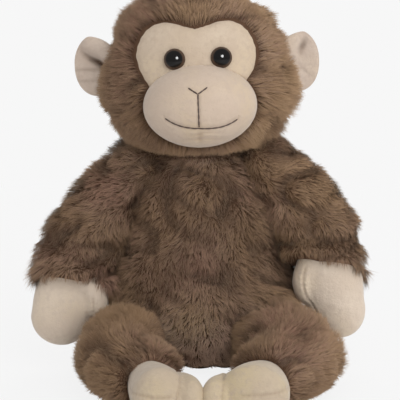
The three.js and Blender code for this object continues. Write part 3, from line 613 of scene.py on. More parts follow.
creased(torso, 12)
at, out = roots_on(torso, 20, lambda p: (p[:, 2] > 4.5)
                   & (np.hypot(np.hypot(np.abs(p[:, 0]) - 43, p[:, 1]), p[:, 2] - 133) > 15))
# belly also lifts the pile and warms its hue; belly and chest lighten its tone as painted light, the
# lower belly facing down away from the lamps and the chest in the head's shadow.
belly = np.clip((62 - at[:, 2]) / 30, 0, 1)
chest = np.clip((at[:, 2] - 100) / 30, 0, 1)
hip = np.exp(-((at[:, 2] - 50) / 18) ** 2) * np.clip((np.abs(at[:, 0]) - 42) / 12, 0, 1)
# Painted shade darkens the pile at the torso's sides, where the sleeves lie against it.
pressed = (at[:, 2] > 64) * np.clip(
    (np.abs(at[:, 0]) - np.interp(at[:, 2], [65, 92, 119, 146], [53, 48, 43, 36])) / 5 + 1, 0, 1)
flow = belly_flow(at) + out * (1, 0, 0) * hip[:, None]
pile("torso_fur", at, unit(out + belly[:, None] * (0, 0, 0.4)), flow,
     (6.8 + 7 * hip) * near_floor(at), 20, brown_pile, "torso", 3, upright=0.45 + 0.1 * hip,
     flat=1.15 - 0.3 * hip, rolls=12, tone_and_painted_light=-0.12 + 0.56 * belly + 0.26 * chest - 0.3 * pressed,
     warmth=-0.35 * belly)


# Neck: the gathered seam that joins the head to the torso, pleated all round under a short pile.
NECK_MIDDLE = np.array([0, 2, 146.0])
HEAD_ROLL = math.radians(2)
ROLL_COS, ROLL_SIN = math.cos(HEAD_ROLL), math.sin(HEAD_ROLL)
NECK_RADIUS = 23.5
NECK_RISE = 23.0
NECK_COLUMNS = 104
PLEATS = 26


def in_part(local):
    """From the head's own frame at the neck, which is rolled about the line of sight, to the part's."""
    x, y, z = local.T
    return np.stack([x * ROLL_COS - z * ROLL_SIN, y, x * ROLL_SIN + z * ROLL_COS], -1) + NECK_MIDDLE


rise = np.linspace(0, 1, 14)
dome = np.concatenate([[0], NECK_RADIUS * np.cos(rise * np.pi / 2)])
level = np.concatenate([[0.4], 0.4 + NECK_RISE * np.sin(rise * np.pi / 2)])
points, faces = bag(level[:, None] * UP + NECK_MIDDLE, TO_LEFT, TO_BACK, dome, dome, NECK_COLUMNS)
around = np.arctan2(points[:, 1] - NECK_MIDDLE[1], points[:, 0])
fold = 1 - 0.035 * (1 + np.cos(PLEATS * around)) * (points[:, 2] < 165)
points[:, :2] = NECK_MIDDLE[:2] + (points[:, :2] - NECK_MIDDLE[:2]) * fold[:, None]
neck = piece("neck_gathers", points, faces, brown_backing)
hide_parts("neck_gather")
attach(neck, "neck")
at, out = roots_on(neck, 30, lambda p: (p[:, 2] > 146.8) & (p[:, 2] < 156))
pile("neck_fur", at, out, out * (1, 1, 0) - (0, 0, 0.4), 7.5 + 0 * at[:, 0], 30, brown_pile, "neck",
     upright=0.3, flat=0.9)


# Head: one round bag of the same plush, with a hole for the face. The pile is brushed away from the
# face all round, and parts above the notch of the brow.
HEAD_HEIGHTS = [5, 5, 8, 13, 41, 68, 82, 95, 104, 110, 111.7]
HEAD_RADII = [0, 22, 36, 46, 61.5, 56.2, 51, 41.2, 29, 14, 0]
HEAD_DEPTH_SHARE = 0.86
FACE_MIDDLE = -0.1
FACE_CENTRE_HEIGHT = 70
FACE_OUTLINE = [(0, 88), (8, 90), (16, 92.2), (24, 92.2), (32, 88.5), (38, 81), (41, 71), (39.3, 63.5),
                (36, 58.5), (31.7, 53), (27, 46), (0, 40)]
MUZZLE_CENTRE = np.array([1.4, -46, 38.0])
MUZZLE_RADII = np.array([37, 31, 27.0])


def head_radius(z):
    """The half width of the head at a height above the neck."""
    share = np.linspace(0, 1, 200)
    up = np.maximum.accumulate(through(HEAD_HEIGHTS, share) + 1e-6 * share)
    return np.interp(z, up, np.maximum(through(HEAD_RADII, share), 0))


def head_front(x, z):
    """How far forward the head reaches at a place of its front view: an ellipse at each height."""
    return -HEAD_DEPTH_SHARE * np.sqrt(np.maximum(head_radius(z) ** 2 - x**2, 0))


centres, radii = profile(HEAD_HEIGHTS, HEAD_RADII)
points, faces = bag(centres, TO_LEFT, TO_BACK, radii, radii * HEAD_DEPTH_SHARE, BAG_COLUMNS)
head = piece("head_padding", in_part(points), faces, brown_backing)
stuff(head, 1.0, lambda p: (p[:, 1] < -20) | (p[:, 2] < 155))
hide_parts("head_skin", "head_stuffing")
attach(head, "head")


def to_head(p):
    """From the part's frame to the head's own, the other way round from in_part."""
    x, y, z = (p - NECK_MIDDLE).T
    return np.stack([x * ROLL_COS + z * ROLL_SIN, y, -x * ROLL_SIN + z * ROLL_COS], -1)


def face_reach(angle):
    """The radius of the face's heart-shaped outline from its centre, at an angle from straight up,
    the same on both sides."""
    knots = np.array(FACE_OUTLINE, float) - (0, FACE_CENTRE_HEIGHT)
    line = through(knots, np.linspace(0, 1, 240))
    turn = np.arctan2(line[:, 0], line[:, 1])
    return np.interp(np.abs(angle), np.maximum.accumulate(turn), np.hypot(line[:, 0], line[:, 1]))


def off_face(p):
    """How far a point of the head's front lies outside the outlines of the face and of the muzzle,
    and a long way for those behind."""
    q = to_head(p)
    x, z = q[:, 0] - FACE_MIDDLE, q[:, 2] - FACE_CENTRE_HEIGHT
    from_face = np.hypot(x, z) - face_reach(np.arctan2(x, z))
    m = (q - MUZZLE_CENTRE)[:, [0, 2]]
    share = np.maximum(np.linalg.norm(m / MUZZLE_RADII[[0, 2]], axis=1), 0.01)
    from_muzzle = (1 - 1 / share) * np.linalg.norm(m, axis=1)
    return np.where(q[:, 1] > 0, 60, np.minimum(from_face, from_muzzle))


def head_flow(p):
    """Away from the middle of the face on the front, and back and down behind the ears."""
    q = to_head(p)
    x, z = q[:, 0] - FACE_MIDDLE, q[:, 2] - 58
    away = unit(np.stack([x, 0 * x, z], -1))
    behind = np.clip((q[:, 1] + 10) / 40, 0, 1)[:, None]
    return away * (1 - behind) + behind * np.array([0, 0.5, -0.9]) + np.array([0, 0.35, 0])


creased(head, 13, share=lambda p: np.clip((off_face(p) - 3) / 8, 0, 0.4)
        * np.clip((p[:, 2] - 155) / 12, 0, 1))
at, out = roots_on(head, 40, lambda p: (off_face(p) > 0.2) & (p[:, 2] > 148.5))
corner = np.exp(-((np.abs(at[:, 0] - 4) - 48) / 16) ** 2 - ((at[:, 2] - 240) / 18) ** 2)
cheek = np.exp(-((at[:, 2] - 178) / 20) ** 2) * np.clip((at[:, 0] - 35) / 15, 0, 1)
reach = 8.5 * (1 + 0.15 * corner + 0.7 * cheek)
reach = reach * np.clip((at[:, 2] - 138) / 20, 0.5, 1)
edge = 0.35 * np.clip(1 - off_face(at) / 5, 0, 1)
# The tone is lighter on the head's left side and darker on its right: painted light and shade, as the
# lamps stand on its left.
pile("head_fur", at, out, head_flow(at), reach, 40, brown_pile, "head", 3, upright=0.45 - edge,
     flat=1.1 - edge, rolls=13, tone_and_painted_light=0.13 * np.clip(at[:, 0] / 40, -0.8, 1), warmth=0.15)


# Face: a heart of short cream velour let into the head, and a puffed muzzle of the same cloth sewn
# over its lower edge. The nose and the mouth are embroidered in one dark thread.
def velour_finish(name, *colours):
    """Short brushed velour in four colours: its own, a darker one in slow changes of tone and in the
    nap, a warmer one in a patch here and there, and a painted shade for folds, where the attribute says
    so."""
    own, dark, warm, deep = (linear(*colour) for colour in colours)
    nap = Finish(name, Roughness=0.9, Specular_IOR_Level=0.15, Sheen_Weight=0.35, Sheen_Roughness=0.45)
    fine, lumps = nap.noise(900.0, Detail=4.0), nap.noise(260.0, Detail=2.0)
    body = nap.mix(((nap.noise(42.0, Detail=2.0) - 0.35) * 2.2).within(), dark, own)
    body = nap.mix(((nap.noise(26.0, Detail=1.0) - 0.48) * 4.0).within(), body, warm)
    body = nap.mix(((fine - 0.5) * 2.5).within(), body, dark)
    body = nap.mix(((lumps - 0.47) * 4.0).within(), body, dark)
    # Painted shade: where the fold attribute is high, the velour turns to its darkest colour.
    fold = nap.node("Attribute", {"attribute_name": "fold"}, {}, 2)
    body = nap.mix(fold.within(), body, deep)
    return nap.feed(Base_Color=body, Normal=nap.bump(fine * 0.4 + lumps * 0.6, 0.7, 0.0012))


# The last colour of each velour is the painted shade of its folds.
face_velour = velour_finish("face_velour", (211, 193, 172), (199, 179, 158), (208, 188, 161),
                            (140, 112, 90))
muzzle_velour = velour_finish("muzzle_velour", (211, 192, 173), (200, 180, 162), (207, 186, 158),
                              (140, 112, 92))
FACE_PROUD, FACE_UNDER = 1.6, -2.2
BLEND_REACH = 9.0


def lens(front, back, rings, columns):
    """A closed pad: its front and back are functions of rho, from 0 in the middle to 1 at the rim, and
    of the angle round it."""
    rho = np.sin(np.linspace(0, 1, rings + 1) * np.pi / 2)[1:]
    a = np.arange(columns) * 2 * np.pi / columns
    grid_rho, grid_a = np.meshgrid(rho, a, indexing="ij")
    near = front(grid_rho.ravel(), grid_a.ravel()).reshape(rings, columns, 3)
    far = back(grid_rho.ravel(), grid_a.ravel()).reshape(rings, columns, 3)[::-1]
    ends = (front(np.zeros(1), np.zeros(1)), back(np.zeros(1), np.zeros(1)))
    return skin(ends[0], np.concatenate([near, far]), ends[1])


def muzzle_bulge(x, z):
    """How far forward the plain muzzle reaches: an egg, and outside its outline a steep way back."""
    share = (1 - ((x - MUZZLE_CENTRE[0]) / MUZZLE_RADII[0]) ** 2
             - ((z - MUZZLE_CENTRE[2]) / MUZZLE_RADII[2]) ** 2)
    bulge = MUZZLE_RADII[1] * np.sqrt(np.maximum(share, 0))
    return MUZZLE_CENTRE[1] - bulge + 14 * np.maximum(-share, 0)


def bridge(x, z):
    """How far the face and the muzzle swell towards each other where they meet on the nose's bridge:
    k/4 (1 - d/k)^2 for a distance d between their surfaces of less than k."""
    apart = np.abs(muzzle_bulge(x, z) - head_front(x, z) + FACE_PROUD)
    near = np.maximum(BLEND_REACH - apart, 0) / BLEND_REACH
    return BLEND_REACH / 4 * near**2 * np.clip((z - 46) / 8, 0, 1)


def face_surface(proud):
    """The face follows the head, proud by that much in the middle and sunk at its sewn rim, where the
    seam draws in small puckers."""
    def surface(rho, a):
        reach = face_reach(np.arctan2(np.sin(a), np.cos(a))) * rho
        x = FACE_MIDDLE + reach * np.sin(a)
        z = FACE_CENTRE_HEIGHT + reach * np.cos(a)
        swell = proud * (1 - rho**8) - 1.2 * rho**14 + bridge(x, z) * (proud > 0)
        pucker = 0.1 * rho**6 * np.sin(34 * a + 2 * np.sin(5 * a))
        return in_part(np.stack([x, head_front(x, z) - swell - pucker, z], -1))
    return surface


face = piece("face_velour_panel", *lens(face_surface(FACE_PROUD), face_surface(FACE_UNDER),
                                        rings=28, columns=144), face_velour)
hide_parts("face_panel")
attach(face, "head")

SMILE_MIDDLE, SMILE_LOW, SMILE_LIFT, SMILE_HALF_WIDTH, SMILE_TILT = 2.0, 26.9, 5.7, 23.0, 0.05
NOSE_MIDDLE, NOSE_JOIN, NOSE_TOP, NOSE_HALF_WIDTH = 0.4, 48.9, 52.8, 6.2


def mouth_height(x):
    """The smile: nearly level in the middle, curled up at its corners, one a little higher."""
    away = (x - SMILE_MIDDLE) / SMILE_HALF_WIDTH
    return SMILE_LOW + SMILE_LIFT * np.abs(away) ** 2.8 - SMILE_TILT * (x - SMILE_MIDDLE)


def muzzle_folds(x, z):
    """How deep the muzzle is drawn in: along the stitches, at a seam and a wrinkle under the mouth and
    in the chin's dimple."""
    mouth = np.exp(-((z - mouth_height(x)) / 1.5) ** 2)
    mouth = mouth * (np.abs(x - SMILE_MIDDLE) < SMILE_HALF_WIDTH + 1)
    line = np.exp(-((x - NOSE_MIDDLE) / 1.4) ** 2) * (z > SMILE_LOW) * (z < NOSE_JOIN)
    seam = np.exp(-((z - 19.5 + 0.004 * x**2) / 1.3) ** 2 - ((x - 3) / 15) ** 4)
    wrinkle = np.exp(-((z - 23 - 0.08 * x - 0.5 * np.sin(x / 3)) / 0.9) ** 2 - ((x - 4) / 11) ** 4)
    dimple = np.exp(-((x - 0.5) / 1.6) ** 2 - ((z - 21) / 4.0) ** 2)
    return 0.8 * mouth + 0.6 * line + 0.8 * seam + 0.7 * wrinkle + 1.1 * dimple


def muzzle_front(x, z):
    """How far forward the muzzle reaches: its bulge and the bridge of the nose, less its folds."""
    return muzzle_bulge(x, z) - bridge(x, z) + muzzle_folds(x, z)


MUZZLE_HOLLOW = 14.0


def muzzle_surface(hollow):
    """The front view's ellipse, carried to the front of the muzzle if the hollow is None or, behind,
    to a shallow bowl, as deep as that."""
    def surface(rho, a):
        x = MUZZLE_CENTRE[0] + MUZZLE_RADII[0] * rho * np.sin(a)
        z = MUZZLE_CENTRE[2] + MUZZLE_RADII[2] * rho * np.cos(a)
        root = np.sqrt(np.maximum(1 - rho**2, 0))
        y = muzzle_front(x, z) if hollow is None else MUZZLE_CENTRE[1] + hollow * root
        ripple = 0.25 * np.exp(-((rho - 0.97) / 0.05) ** 2) * np.sin(30 * a + 1.5 * np.sin(4 * a))
        return in_part(np.stack([x, y - ripple, z], -1))
    return surface


def give(made, name, shares):
    """Gives each point of a piece a number from 0 to 1 for its finish: in velour its share of a fold's
    depth, which paints shade into it."""
    made.data.attributes.new(name, "FLOAT", "POINT").data.foreach_set(
        "value", np.clip(shares, 0, 1).astype(np.float32))


muzzle = piece("muzzle_velour_panel", *lens(muzzle_surface(None), muzzle_surface(MUZZLE_HOLLOW),
                                            rings=48, columns=168), muzzle_velour)
on_front = to_head(points_of(muzzle.data))
# Painted shade along the stitches, the seam, the wrinkle and the dimple.
give(muzzle, "fold", 0.24 * muzzle_folds(on_front[:, 0], on_front[:, 2]))
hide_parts("muzzle_panel")
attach(muzzle, "head")


# Stitches: six-strand embroidery thread, laid on the muzzle in back stitches that touch end to end.
THREAD_RADIUS = 0.5
THREAD_SIDES = 8
THREAD_STEP = 0.5


def thread_finish():
    """Mercerised cotton: a soft gloss, and the slanting strands show as a fine twist."""
    cotton = Finish("dark_thread", Roughness=0.55, Sheen_Weight=0.2)
    twist = cotton.node("TexWave", {"bands_direction": "DIAGONAL"},
                        {"Vector": cotton.place(), "Scale": 700.0})
    colour = cotton.mix(twist, linear(62, 44, 36), linear(92, 70, 58))
    return cotton.feed(Base_Color=colour, Normal=cotton.bump(twist, 0.4, 0.0002))


def thread(path, radius, stitch):
    """A tube along the path whose radius dips where one stitch ends and the next begins."""
    lengths = np.concatenate([[0], np.cumsum(np.linalg.norm(np.diff(path, axis=0), axis=1))])
    s = np.linspace(0, lengths[-1], max(int(lengths[-1] / THREAD_STEP), 6))
    middle = np.stack([np.interp(s, lengths, path[:, k]) for k in range(3)], -1)
    tangent = unit(np.gradient(middle, axis=0))
    wide = unit(np.cross(tangent, np.array([0.02, -1.0, 0.03])))
    deep = np.cross(tangent, wide)
    dip = radius * (1 - 0.35 * np.abs(np.cos(np.pi * s / stitch)) ** 6)
    ends = np.sqrt(np.clip(np.minimum(s, s[-1] - s) / radius, 0, 1))
    return bag(middle, wide, deep, dip * ends, dip * ends, THREAD_SIDES)


def joined(parts):
    """Several closed shapes as one piece's points and faces."""
    points, faces, start = [], [], 0
    for part_points, part_faces in parts:
        points.append(part_points)
        faces += [[v + start for v in f] for f in part_faces]
        start += len(part_points)
    return np.concatenate(points), faces


def on_muzzle(x, z):
    """Points just proud of the muzzle's front."""
    return in_part(np.stack([x, muzzle_front(x, z) - 0.25, z], -1))


dark_thread = thread_finish()
x = SMILE_MIDDLE + SMILE_HALF_WIDTH * np.linspace(-1, 1, 80)
mouth = piece("mouth_threads", *thread(on_muzzle(x, mouth_height(x)), THREAD_RADIUS, 4.5), dark_thread)
t = np.linspace(0, 1, 40)
sides_of_nose = [thread(on_muzzle(NOSE_MIDDLE + sign * NOSE_HALF_WIDTH * (1 - t),
                                  NOSE_TOP + (NOSE_JOIN - NOSE_TOP) * t), THREAD_RADIUS, 3.8)
                 for sign in (-1, 1)]
lip = mouth_height(np.array(NOSE_MIDDLE)) + 0.8
down = thread(on_muzzle(NOSE_MIDDLE + 0 * t, NOSE_JOIN + (lip - NOSE_JOIN) * t), THREAD_RADIUS, 4.2)
nose = piece("nose_threads", *joined(sides_of_nose + [down]), dark_thread)
for made, node in ((mouth, "mouth_stitching"), (nose, "nose_stitching")):
    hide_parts(node)
    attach(made, "head")

BACK_STITCHES = 10
BACK_ZIG = 1.6
seam_low, seam_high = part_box("back_seam")
zig = np.linspace(0, 1, BACK_STITCHES)
seam_height = seam_low.z + (seam_high.z - seam_low.z) * zig
back_line = np.stack([BACK_ZIG * (-1) ** np.arange(BACK_STITCHES), 0 * zig, seam_height / MM], -1)
back_line[:, 1] = np.interp(back_line[:, 2], *TORSO_INSIDE) * TORSO_DEPTH_SHARE + 1.2
back_seam = piece("back_seam_thread", *thread(back_line, 0.6, 5.6), dark_thread)
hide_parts("back_seam")
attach(back_seam, "torso")


# Eyes: 14 mm safety eyes, clear-coated domes with a black pupil in a dark brown ring. The shank goes
# through the face to a plastic washer behind it.
EYE_RADIUS = 7.0
EYE_DOME = 5.2
EYE_LIFT = 2.0
EYE_COLUMNS = 48
EYES = (("right_eye", -13.8, 68.5), ("left_eye", 15.9, 68.6))
PUPIL_SHARE = 0.72


def eye_finish():
    """Moulded eye: painted from behind, black in the middle and brown near the rim, under clear gloss.
    The attribute is the distance from the eye's axis, as a share of its radius."""
    gloss = Finish("eye_plastic", Roughness=0.1, Specular_IOR_Level=0.18, Coat_Weight=0.2,
                   Coat_Roughness=0.03)
    ring = gloss.node("Attribute", {"attribute_name": "ring"}, {}, 2)
    iris = gloss.mix(gloss.noise(700.0), linear(70, 52, 41), linear(88, 68, 54))
    edge = ((ring - PUPIL_SHARE) * 7.0).within()
    rim = ((ring - 0.95) * 30.0).within()
    colour = gloss.mix(edge, linear(14, 11, 10), iris)
    return gloss.feed(Base_Color=gloss.mix(rim, colour, linear(52, 36, 28)))


eye_plastic = eye_finish()
for eye_name, middle, height in EYES:
    x, z = np.array([middle]), np.array([height])
    seat = np.array([middle, head_front(x, z)[0], height])
    step = 0.5
    slope_x = (head_front(x + step, z) - head_front(x - step, z))[0] / (2 * step)
    slope_z = (head_front(x, z + step) - head_front(x, z - step))[0] / (2 * step)
    facing = unit(0.4 * unit(np.array([slope_x, -1, slope_z])) + 0.6 * np.array([0, -1, 0.12]))
    wide = unit(np.cross(UP, facing))
    deep = np.cross(facing, wide)
    rise = np.linspace(0, np.pi / 2, 26)
    share = np.concatenate([[0, 0.9], np.cos(rise)])
    lift = np.concatenate([[-1.2, -1.2], 0.3 + (EYE_DOME - 0.3) * np.sin(rise)]) + EYE_LIFT
    points, faces = bag(seat + lift[:, None] * facing, wide, deep, EYE_RADIUS * share,
                        EYE_RADIUS * share, EYE_COLUMNS)
    eye = piece(eye_name + "_dome", in_part(points), faces, eye_plastic)
    give(eye, "ring", np.concatenate([share[:1], np.repeat(share[1:-1], EYE_COLUMNS), share[-1:]]))
    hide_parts(eye_name)
    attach(eye, "head")

washer_plastic = Finish("washer_plastic", Roughness=0.5)
washer_plastic.feed(Base_Color=washer_plastic.mix(washer_plastic.noise(900.0), linear(222, 219, 212),
                                                  linear(236, 233, 227)))
for node in ("left_eye_washer", "right_eye_washer"):
    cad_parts[node].data.materials.clear()
    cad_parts[node].data.materials.append(washer_plastic.material)


# Ears: two panels of velour sewn round their rim and turned, so the rim is a soft roll and the
# middle a shallow cup. Each is folded where it enters the seam of the head, the right one deeply.
EAR_OUT = 68.3
EAR_HALF_WIDTH = 14.8
EAR_HALF_HEIGHT = 20.7
EAR_BACK = 1.0
# Its last colour is the painted shade of its folds.
ear_velour = velour_finish("ear_velour", (216, 200, 185), (197, 178, 163), (208, 188, 167),
                           (100, 80, 66))


def right_folds(across, up):
    """How far the right ear's front lies back: a flap comes forward above a slanting crease, and two
    soft creases run across below it."""
    over = 0.857 * (up - 0.52) - 0.514 * (across - 0.37) + 0.05 * np.sin(4 * across)
    flap = 1 / (1 + np.exp(-over / 0.06))
    groove = np.exp(-((over + 0.12) / 0.13) ** 2) * np.clip(0.85 - across, 0, 1.0)
    low = 0.6 * np.exp(-((up + 0.15) / 0.06) ** 2) + 0.5 * np.exp(-((up + 0.5) / 0.06) ** 2)
    return 4.0 * groove + 1.3 * low - 4.5 * flap


def left_folds(across, up):
    """How far the left ear's front lies back: a ridge runs down from its top, with a dimple outside it
    and a soft crease low down."""
    inside = 0.07 + 0.15 * (up - 1) - across
    flap = np.clip((up + 0.05) / 0.3, 0, 1) / (1 + np.exp(-inside / 0.05))
    off, along = 0.8 * (across - 0.2) - 0.6 * (up - 0.45), 0.6 * (across - 0.2) + 0.8 * (up - 0.45)
    dimple = np.exp(-(off / 0.12) ** 2 - (along / 0.3) ** 2)
    low = np.exp(-((up + 0.2 + 0.55 * across) / 0.07) ** 2) * np.clip(across * 4, 0, 1)
    return 1.7 * dimple + 0.4 * low - 2.4 * flap


def ear_surface(side, height, folds, depth):
    """A rounded D: |across|^2.3 + |up|^2.3 = 1, whose top slopes down from its outer third to the
    head. It is a shallow cup that looks a little outwards, and has its folds and a line of stitches
    near the rim. depth is 1 on its front, -1 on its back and 0 between."""
    def surface(rho, a):
        across = rho * np.sign(np.sin(a)) * np.abs(np.sin(a)) ** 0.87
        up = rho * np.sign(np.cos(a)) * np.abs(np.cos(a)) ** 0.87
        across = across - 0.14 * np.clip(up, 0, 1) ** 2 * np.clip(across - 0.2, 0, 1)
        up = up * (1 - 0.22 * np.clip(0.35 - across, 0, 2) * np.clip(up, 0, 1))
        x = EAR_OUT + EAR_HALF_WIDTH * across
        z = height + EAR_HALF_HEIGHT * up * (1 - 0.05 * across)
        cup = 3.6 * (1 - rho**2) - 1.6 + 4.5 * across
        stitches = 0.35 * np.exp(-((rho - 0.945) / 0.018) ** 2)
        front = cup + (folds(across, up) * (1 - rho**6) + stitches) * (0.3 + 0.7 * (depth > 0))
        half = 0.5 + 2.3 * np.sqrt(np.maximum(1 - rho**4, 0))
        y = EAR_BACK + front * (0.8 + 0.2 * depth) - depth * half
        return in_part(np.stack([side * x, y, z], -1))
    return surface


EARS = ((-1, "right_ear", 62.0, right_folds), (1, "left_ear", 60.5, left_folds))
for side, ear_name, height, folds in EARS:
    for half_name, near, far in (("front", 1, 0.03), ("back", -0.03, -1)):
        both = (ear_surface(side, height, folds, depth) for depth in (near, far))
        points, faces = lens(*both, rings=30, columns=96)
        if side < 0:
            faces = [f[::-1] for f in faces]
        panel = piece(f"{ear_name}_{half_name}_velour", points, faces, ear_velour)
        spots = to_head(points)
        # Painted shade in the grooves and creases of the ear's front.
        give(panel, "fold", 0.33 * folds((side * spots[:, 0] - EAR_OUT) / EAR_HALF_WIDTH,
                                         (spots[:, 2] - height) / EAR_HALF_HEIGHT) * (near > 0))
        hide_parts(f"{ear_name}_{half_name}")
        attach(panel, ear_name)


# Arms: plush sleeves, gathered into the shoulder seam, each with a cream velour mitt sewn into its
# cuff. The thumb is a lobe of the mitt, marked off by a puckered seam.
# Its last colour is the painted shade of its folds.
cream_velour = velour_finish("cream_velour", (226, 210, 192), (210, 192, 174), (220, 201, 175),
                             (150, 124, 103))
SEAM_POINTS = 60
SEAM_SMOOTHING = 12


def limb(spine, widths, depths, start_cap, end_cap, axis, rows, columns):
    """A bag carried along a smooth spine, with a half ball or a rounded end at each end. axis is the
    way that its depth is measured."""
    turn = np.linspace(np.pi / 2, 0, 7)[:-1]
    t = np.concatenate([0 * turn, np.linspace(0, 1, rows), 1 + 0 * turn])
    ahead = np.concatenate([-start_cap * np.sin(turn), np.zeros(rows), end_cap * np.sin(turn[::-1])])
    share = np.concatenate([np.cos(turn), np.ones(rows), np.cos(turn[::-1])])
    share[[0, -1]] = 0
    way = unit(through(spine, t + 0.01) - through(spine, t - 0.01))
    middle = through(spine, t) + way * ahead[:, None]
    deep = unit(axis - way * (way @ axis)[:, None])
    wide = np.cross(deep, way)
    return bag(middle, wide, deep, through(widths, t) * share, through(depths, t) * share, columns)


def down_the_limb(spine, p):
    """For each point the direction of the spine where it is nearest, that place, and how far the point
    is beyond the spine's end, less than 0 before it."""
    middle = through(spine, np.linspace(0, 1, 40))
    way = unit(np.gradient(middle, axis=0))
    nearest = ((p[:, None] - middle[None]) ** 2).sum(-1).argmin(1)
    return way[nearest], middle[nearest], (p - middle[-1]) @ way[-1]


def mitt(name, parts, body, node, pins, seams, finish):
    """A velour mitt: its lobes are joined in one skin, smoothed, filled and made finer. Then its seams
    are drawn in, each a groove along the line on the skin nearest to a path, with a puckered edge on
    both sides, and painted shade darkens each groove."""
    made = piece(name, *joined(parts), finish)
    remeshed(made, voxel=1.7, rounds=4)
    stuff(made, 0.8, pins)
    points, normals = points_of(made.data), normals_of(made.data)
    shade = np.zeros(len(points))
    for path, depth in seams:
        line = through(path, np.linspace(0, 1, SEAM_POINTS))
        line = points[((line[:, None] - points) ** 2).sum(-1).argmin(1)]
        for _ in range(SEAM_SMOOTHING):
            line[1:-1] = (line[:-2] + 2 * line[1:-1] + line[2:]) / 4
        s = np.concatenate([[0], np.cumsum(np.linalg.norm(np.diff(line, axis=0), axis=1))])
        far = np.linalg.norm(points[:, None] - line[None], axis=2)
        nearest, far = far.argmin(1), far.min(1)
        fades = np.clip(np.minimum(nearest, SEAM_POINTS - 1 - nearest) / 8, 0, 1)
        pucker = 0.5 + 0.5 * np.sin(2 * np.pi * s[nearest] / 3.2 + 1.5 * np.sin(s[nearest] / 4))
        groove = np.exp(-((far / 0.9) ** 2))
        move = fades * depth * (0.7 * pucker * np.exp(-((far - 2.0) / 1.0) ** 2) - groove)
        points = points + normals * move[:, None]
        # Painted shade in each groove, which the finish darkens by its fold attribute.
        shade = shade + fades * depth * groove * (0.4 + 0.3 * pucker)
    put_back(made, points)
    give(made, "fold", shade)
    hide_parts(node)
    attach(made, body)


def place_of(side, *knots):
    """Knots given for the left side, mirrored for the right."""
    return np.array(knots, float) * (side, 1, 1)


SLEEVE_WIDTHS, SLEEVE_DEPTHS = [21, 24, 26.5, 28], [20, 20.5, 20.5, 20]
PALM_DEPTHS = [13, 15.5, 14.5]
# For each arm: its side, name and seed, the sleeve's spine, its hem (how far that drops outside and
# inside, and how much its fringe splays and hangs), the palm, the thumb and the thumb's seam.
ARMS = (
    (-1, "right", 60, [(41, 0, 132.5), (64, -2, 107), (80.5, -5, 80), (84, -13, 61)], (3, 4, 0.9, 8),
     [(87, -12.5, 68), (91.5, -17, 49), (95.5, -19.5, 35)], [20, 22, 20.5], 19,
     [(76, -21, 60), (71, -24, 52), (70, -25.5, 45)], [10, 9, 8],
     [(72.5, -34, 53), (73, -36, 48), (72.5, -36, 42), (76, -34, 37)], 0.55),
    (1, "left", 70, [(46, 0, 138), (67, -2, 111), (81.5, -5, 86), (82, -13, 72)],
     (8, -7, -0.35, 4.5),
     [(85.5, -12.5, 77), (89.4, -17, 58), (94.5, -19.5, 42)], [19.4, 22.5, 18.7], 21,
     [(76, -17, 72), (71.5, -20, 61), (73, -21, 52)], [10, 9, 8],
     [(71, -27, 75), (69, -30, 66), (69.5, -31, 57), (73.5, -31, 47), (78.5, -30, 39), (84, -29, 31)],
     0.6))
for (side, name, seed, spine, hem, palm_spine, palm_widths, palm_cap, thumb_spine, thumb_widths, seam,
     seam_depth) in ARMS:
    outer_drop, inner_drop, splay, fringe = hem
    spine = place_of(side, *spine)
    points, faces = limb(spine, SLEEVE_WIDTHS, SLEEVE_DEPTHS, 21, 4, TO_BACK, 38, 56)
    cuff_height = spine[-1, 2]
    at_cuff = np.clip(1 - (points[:, 2] - cuff_height) / 16, 0, 1)
    outer = (side * points[:, 0] - spine[-1, 0] * side) / SLEEVE_WIDTHS[-1]
    points[:, 2] -= at_cuff * (outer_drop * np.clip(outer, 0, 1) ** 2
                               + inner_drop * np.clip(-outer, 0, 1))
    sleeve = piece(f"{name}_sleeve_padding", points, faces, brown_backing)
    stuff(sleeve, 1.2, lambda p, s=side, c=cuff_height: (s * p[:, 0] < 40) | (p[:, 2] < c + 2))
    creased(sleeve, seed + 7)
    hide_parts(f"{name}_arm_skin", f"{name}_arm_stuffing")
    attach(sleeve, f"{name}_arm")
    at, out = roots_on(sleeve, seed, lambda p: ~in_torso(p, 5))
    way, middle, beyond = down_the_limb(spine, at)
    outwards = unit(at - middle)
    kept = (way * out).sum(1) < 0.75
    at, out, way, outwards, beyond = (values[kept] for values in (at, out, way, outwards, beyond))
    sway = 0.5 * waves(at, 40, seed + 5)[:, None] * np.cross(way, outwards)
    flow = way + np.array([0.15 * side, 0, 0]) + sway
    hanging = (np.clip(1 + beyond / 10, 0, 1)
               * np.clip(np.abs(outwards[:, 0]) * 1.4 + outwards[:, 1], 0, 1))
    flow[:, 0] += splay * hanging * outwards[:, 0]
    # Painted shade darkens the sleeve's pile where it lies against the torso.
    pile(f"{name}_sleeve_fur", at, out, flow, 7.2 + fringe * hanging, seed, brown_pile, f"{name}_arm", 2,
         upright=0.45 + 0.5 * hanging, flat=1.15 + 0.4 * hanging, rolls=seed + 7,
         tone_and_painted_light=0.02 - 0.3 * in_torso(at, -4), warmth=0.1)
    palm = limb(place_of(side, *palm_spine), palm_widths, PALM_DEPTHS, 6, palm_cap, TO_BACK, 20, 44)
    thumb = limb(place_of(side, *thumb_spine), thumb_widths, thumb_widths, 6, 7, TO_BACK, 8, 24)
    mitt(f"{name}_hand_velour", [palm, thumb], f"{name}_arm", f"{name}_hand_skin",
         lambda p, c=cuff_height: p[:, 2] > c - 4, [(place_of(side, *seam), seam_depth)], cream_velour)


# Legs: bent plush tubes that lie on the ground, set into the front of the seat, each with a cream
# velour foot sewn into its cuff. The big toe is a lobe on the inner side. The pile is combed back
# from the foot, and stands out round it as a fringe.
LONG_ROLLS = (0.65, 1.1, 0.75)
SOLE_DEPTHS = [12, 16.5, 19.5]
TOE_WIDTHS, TOE_DEPTHS = [8, 9, 8.5], [12, 13.5, 13]
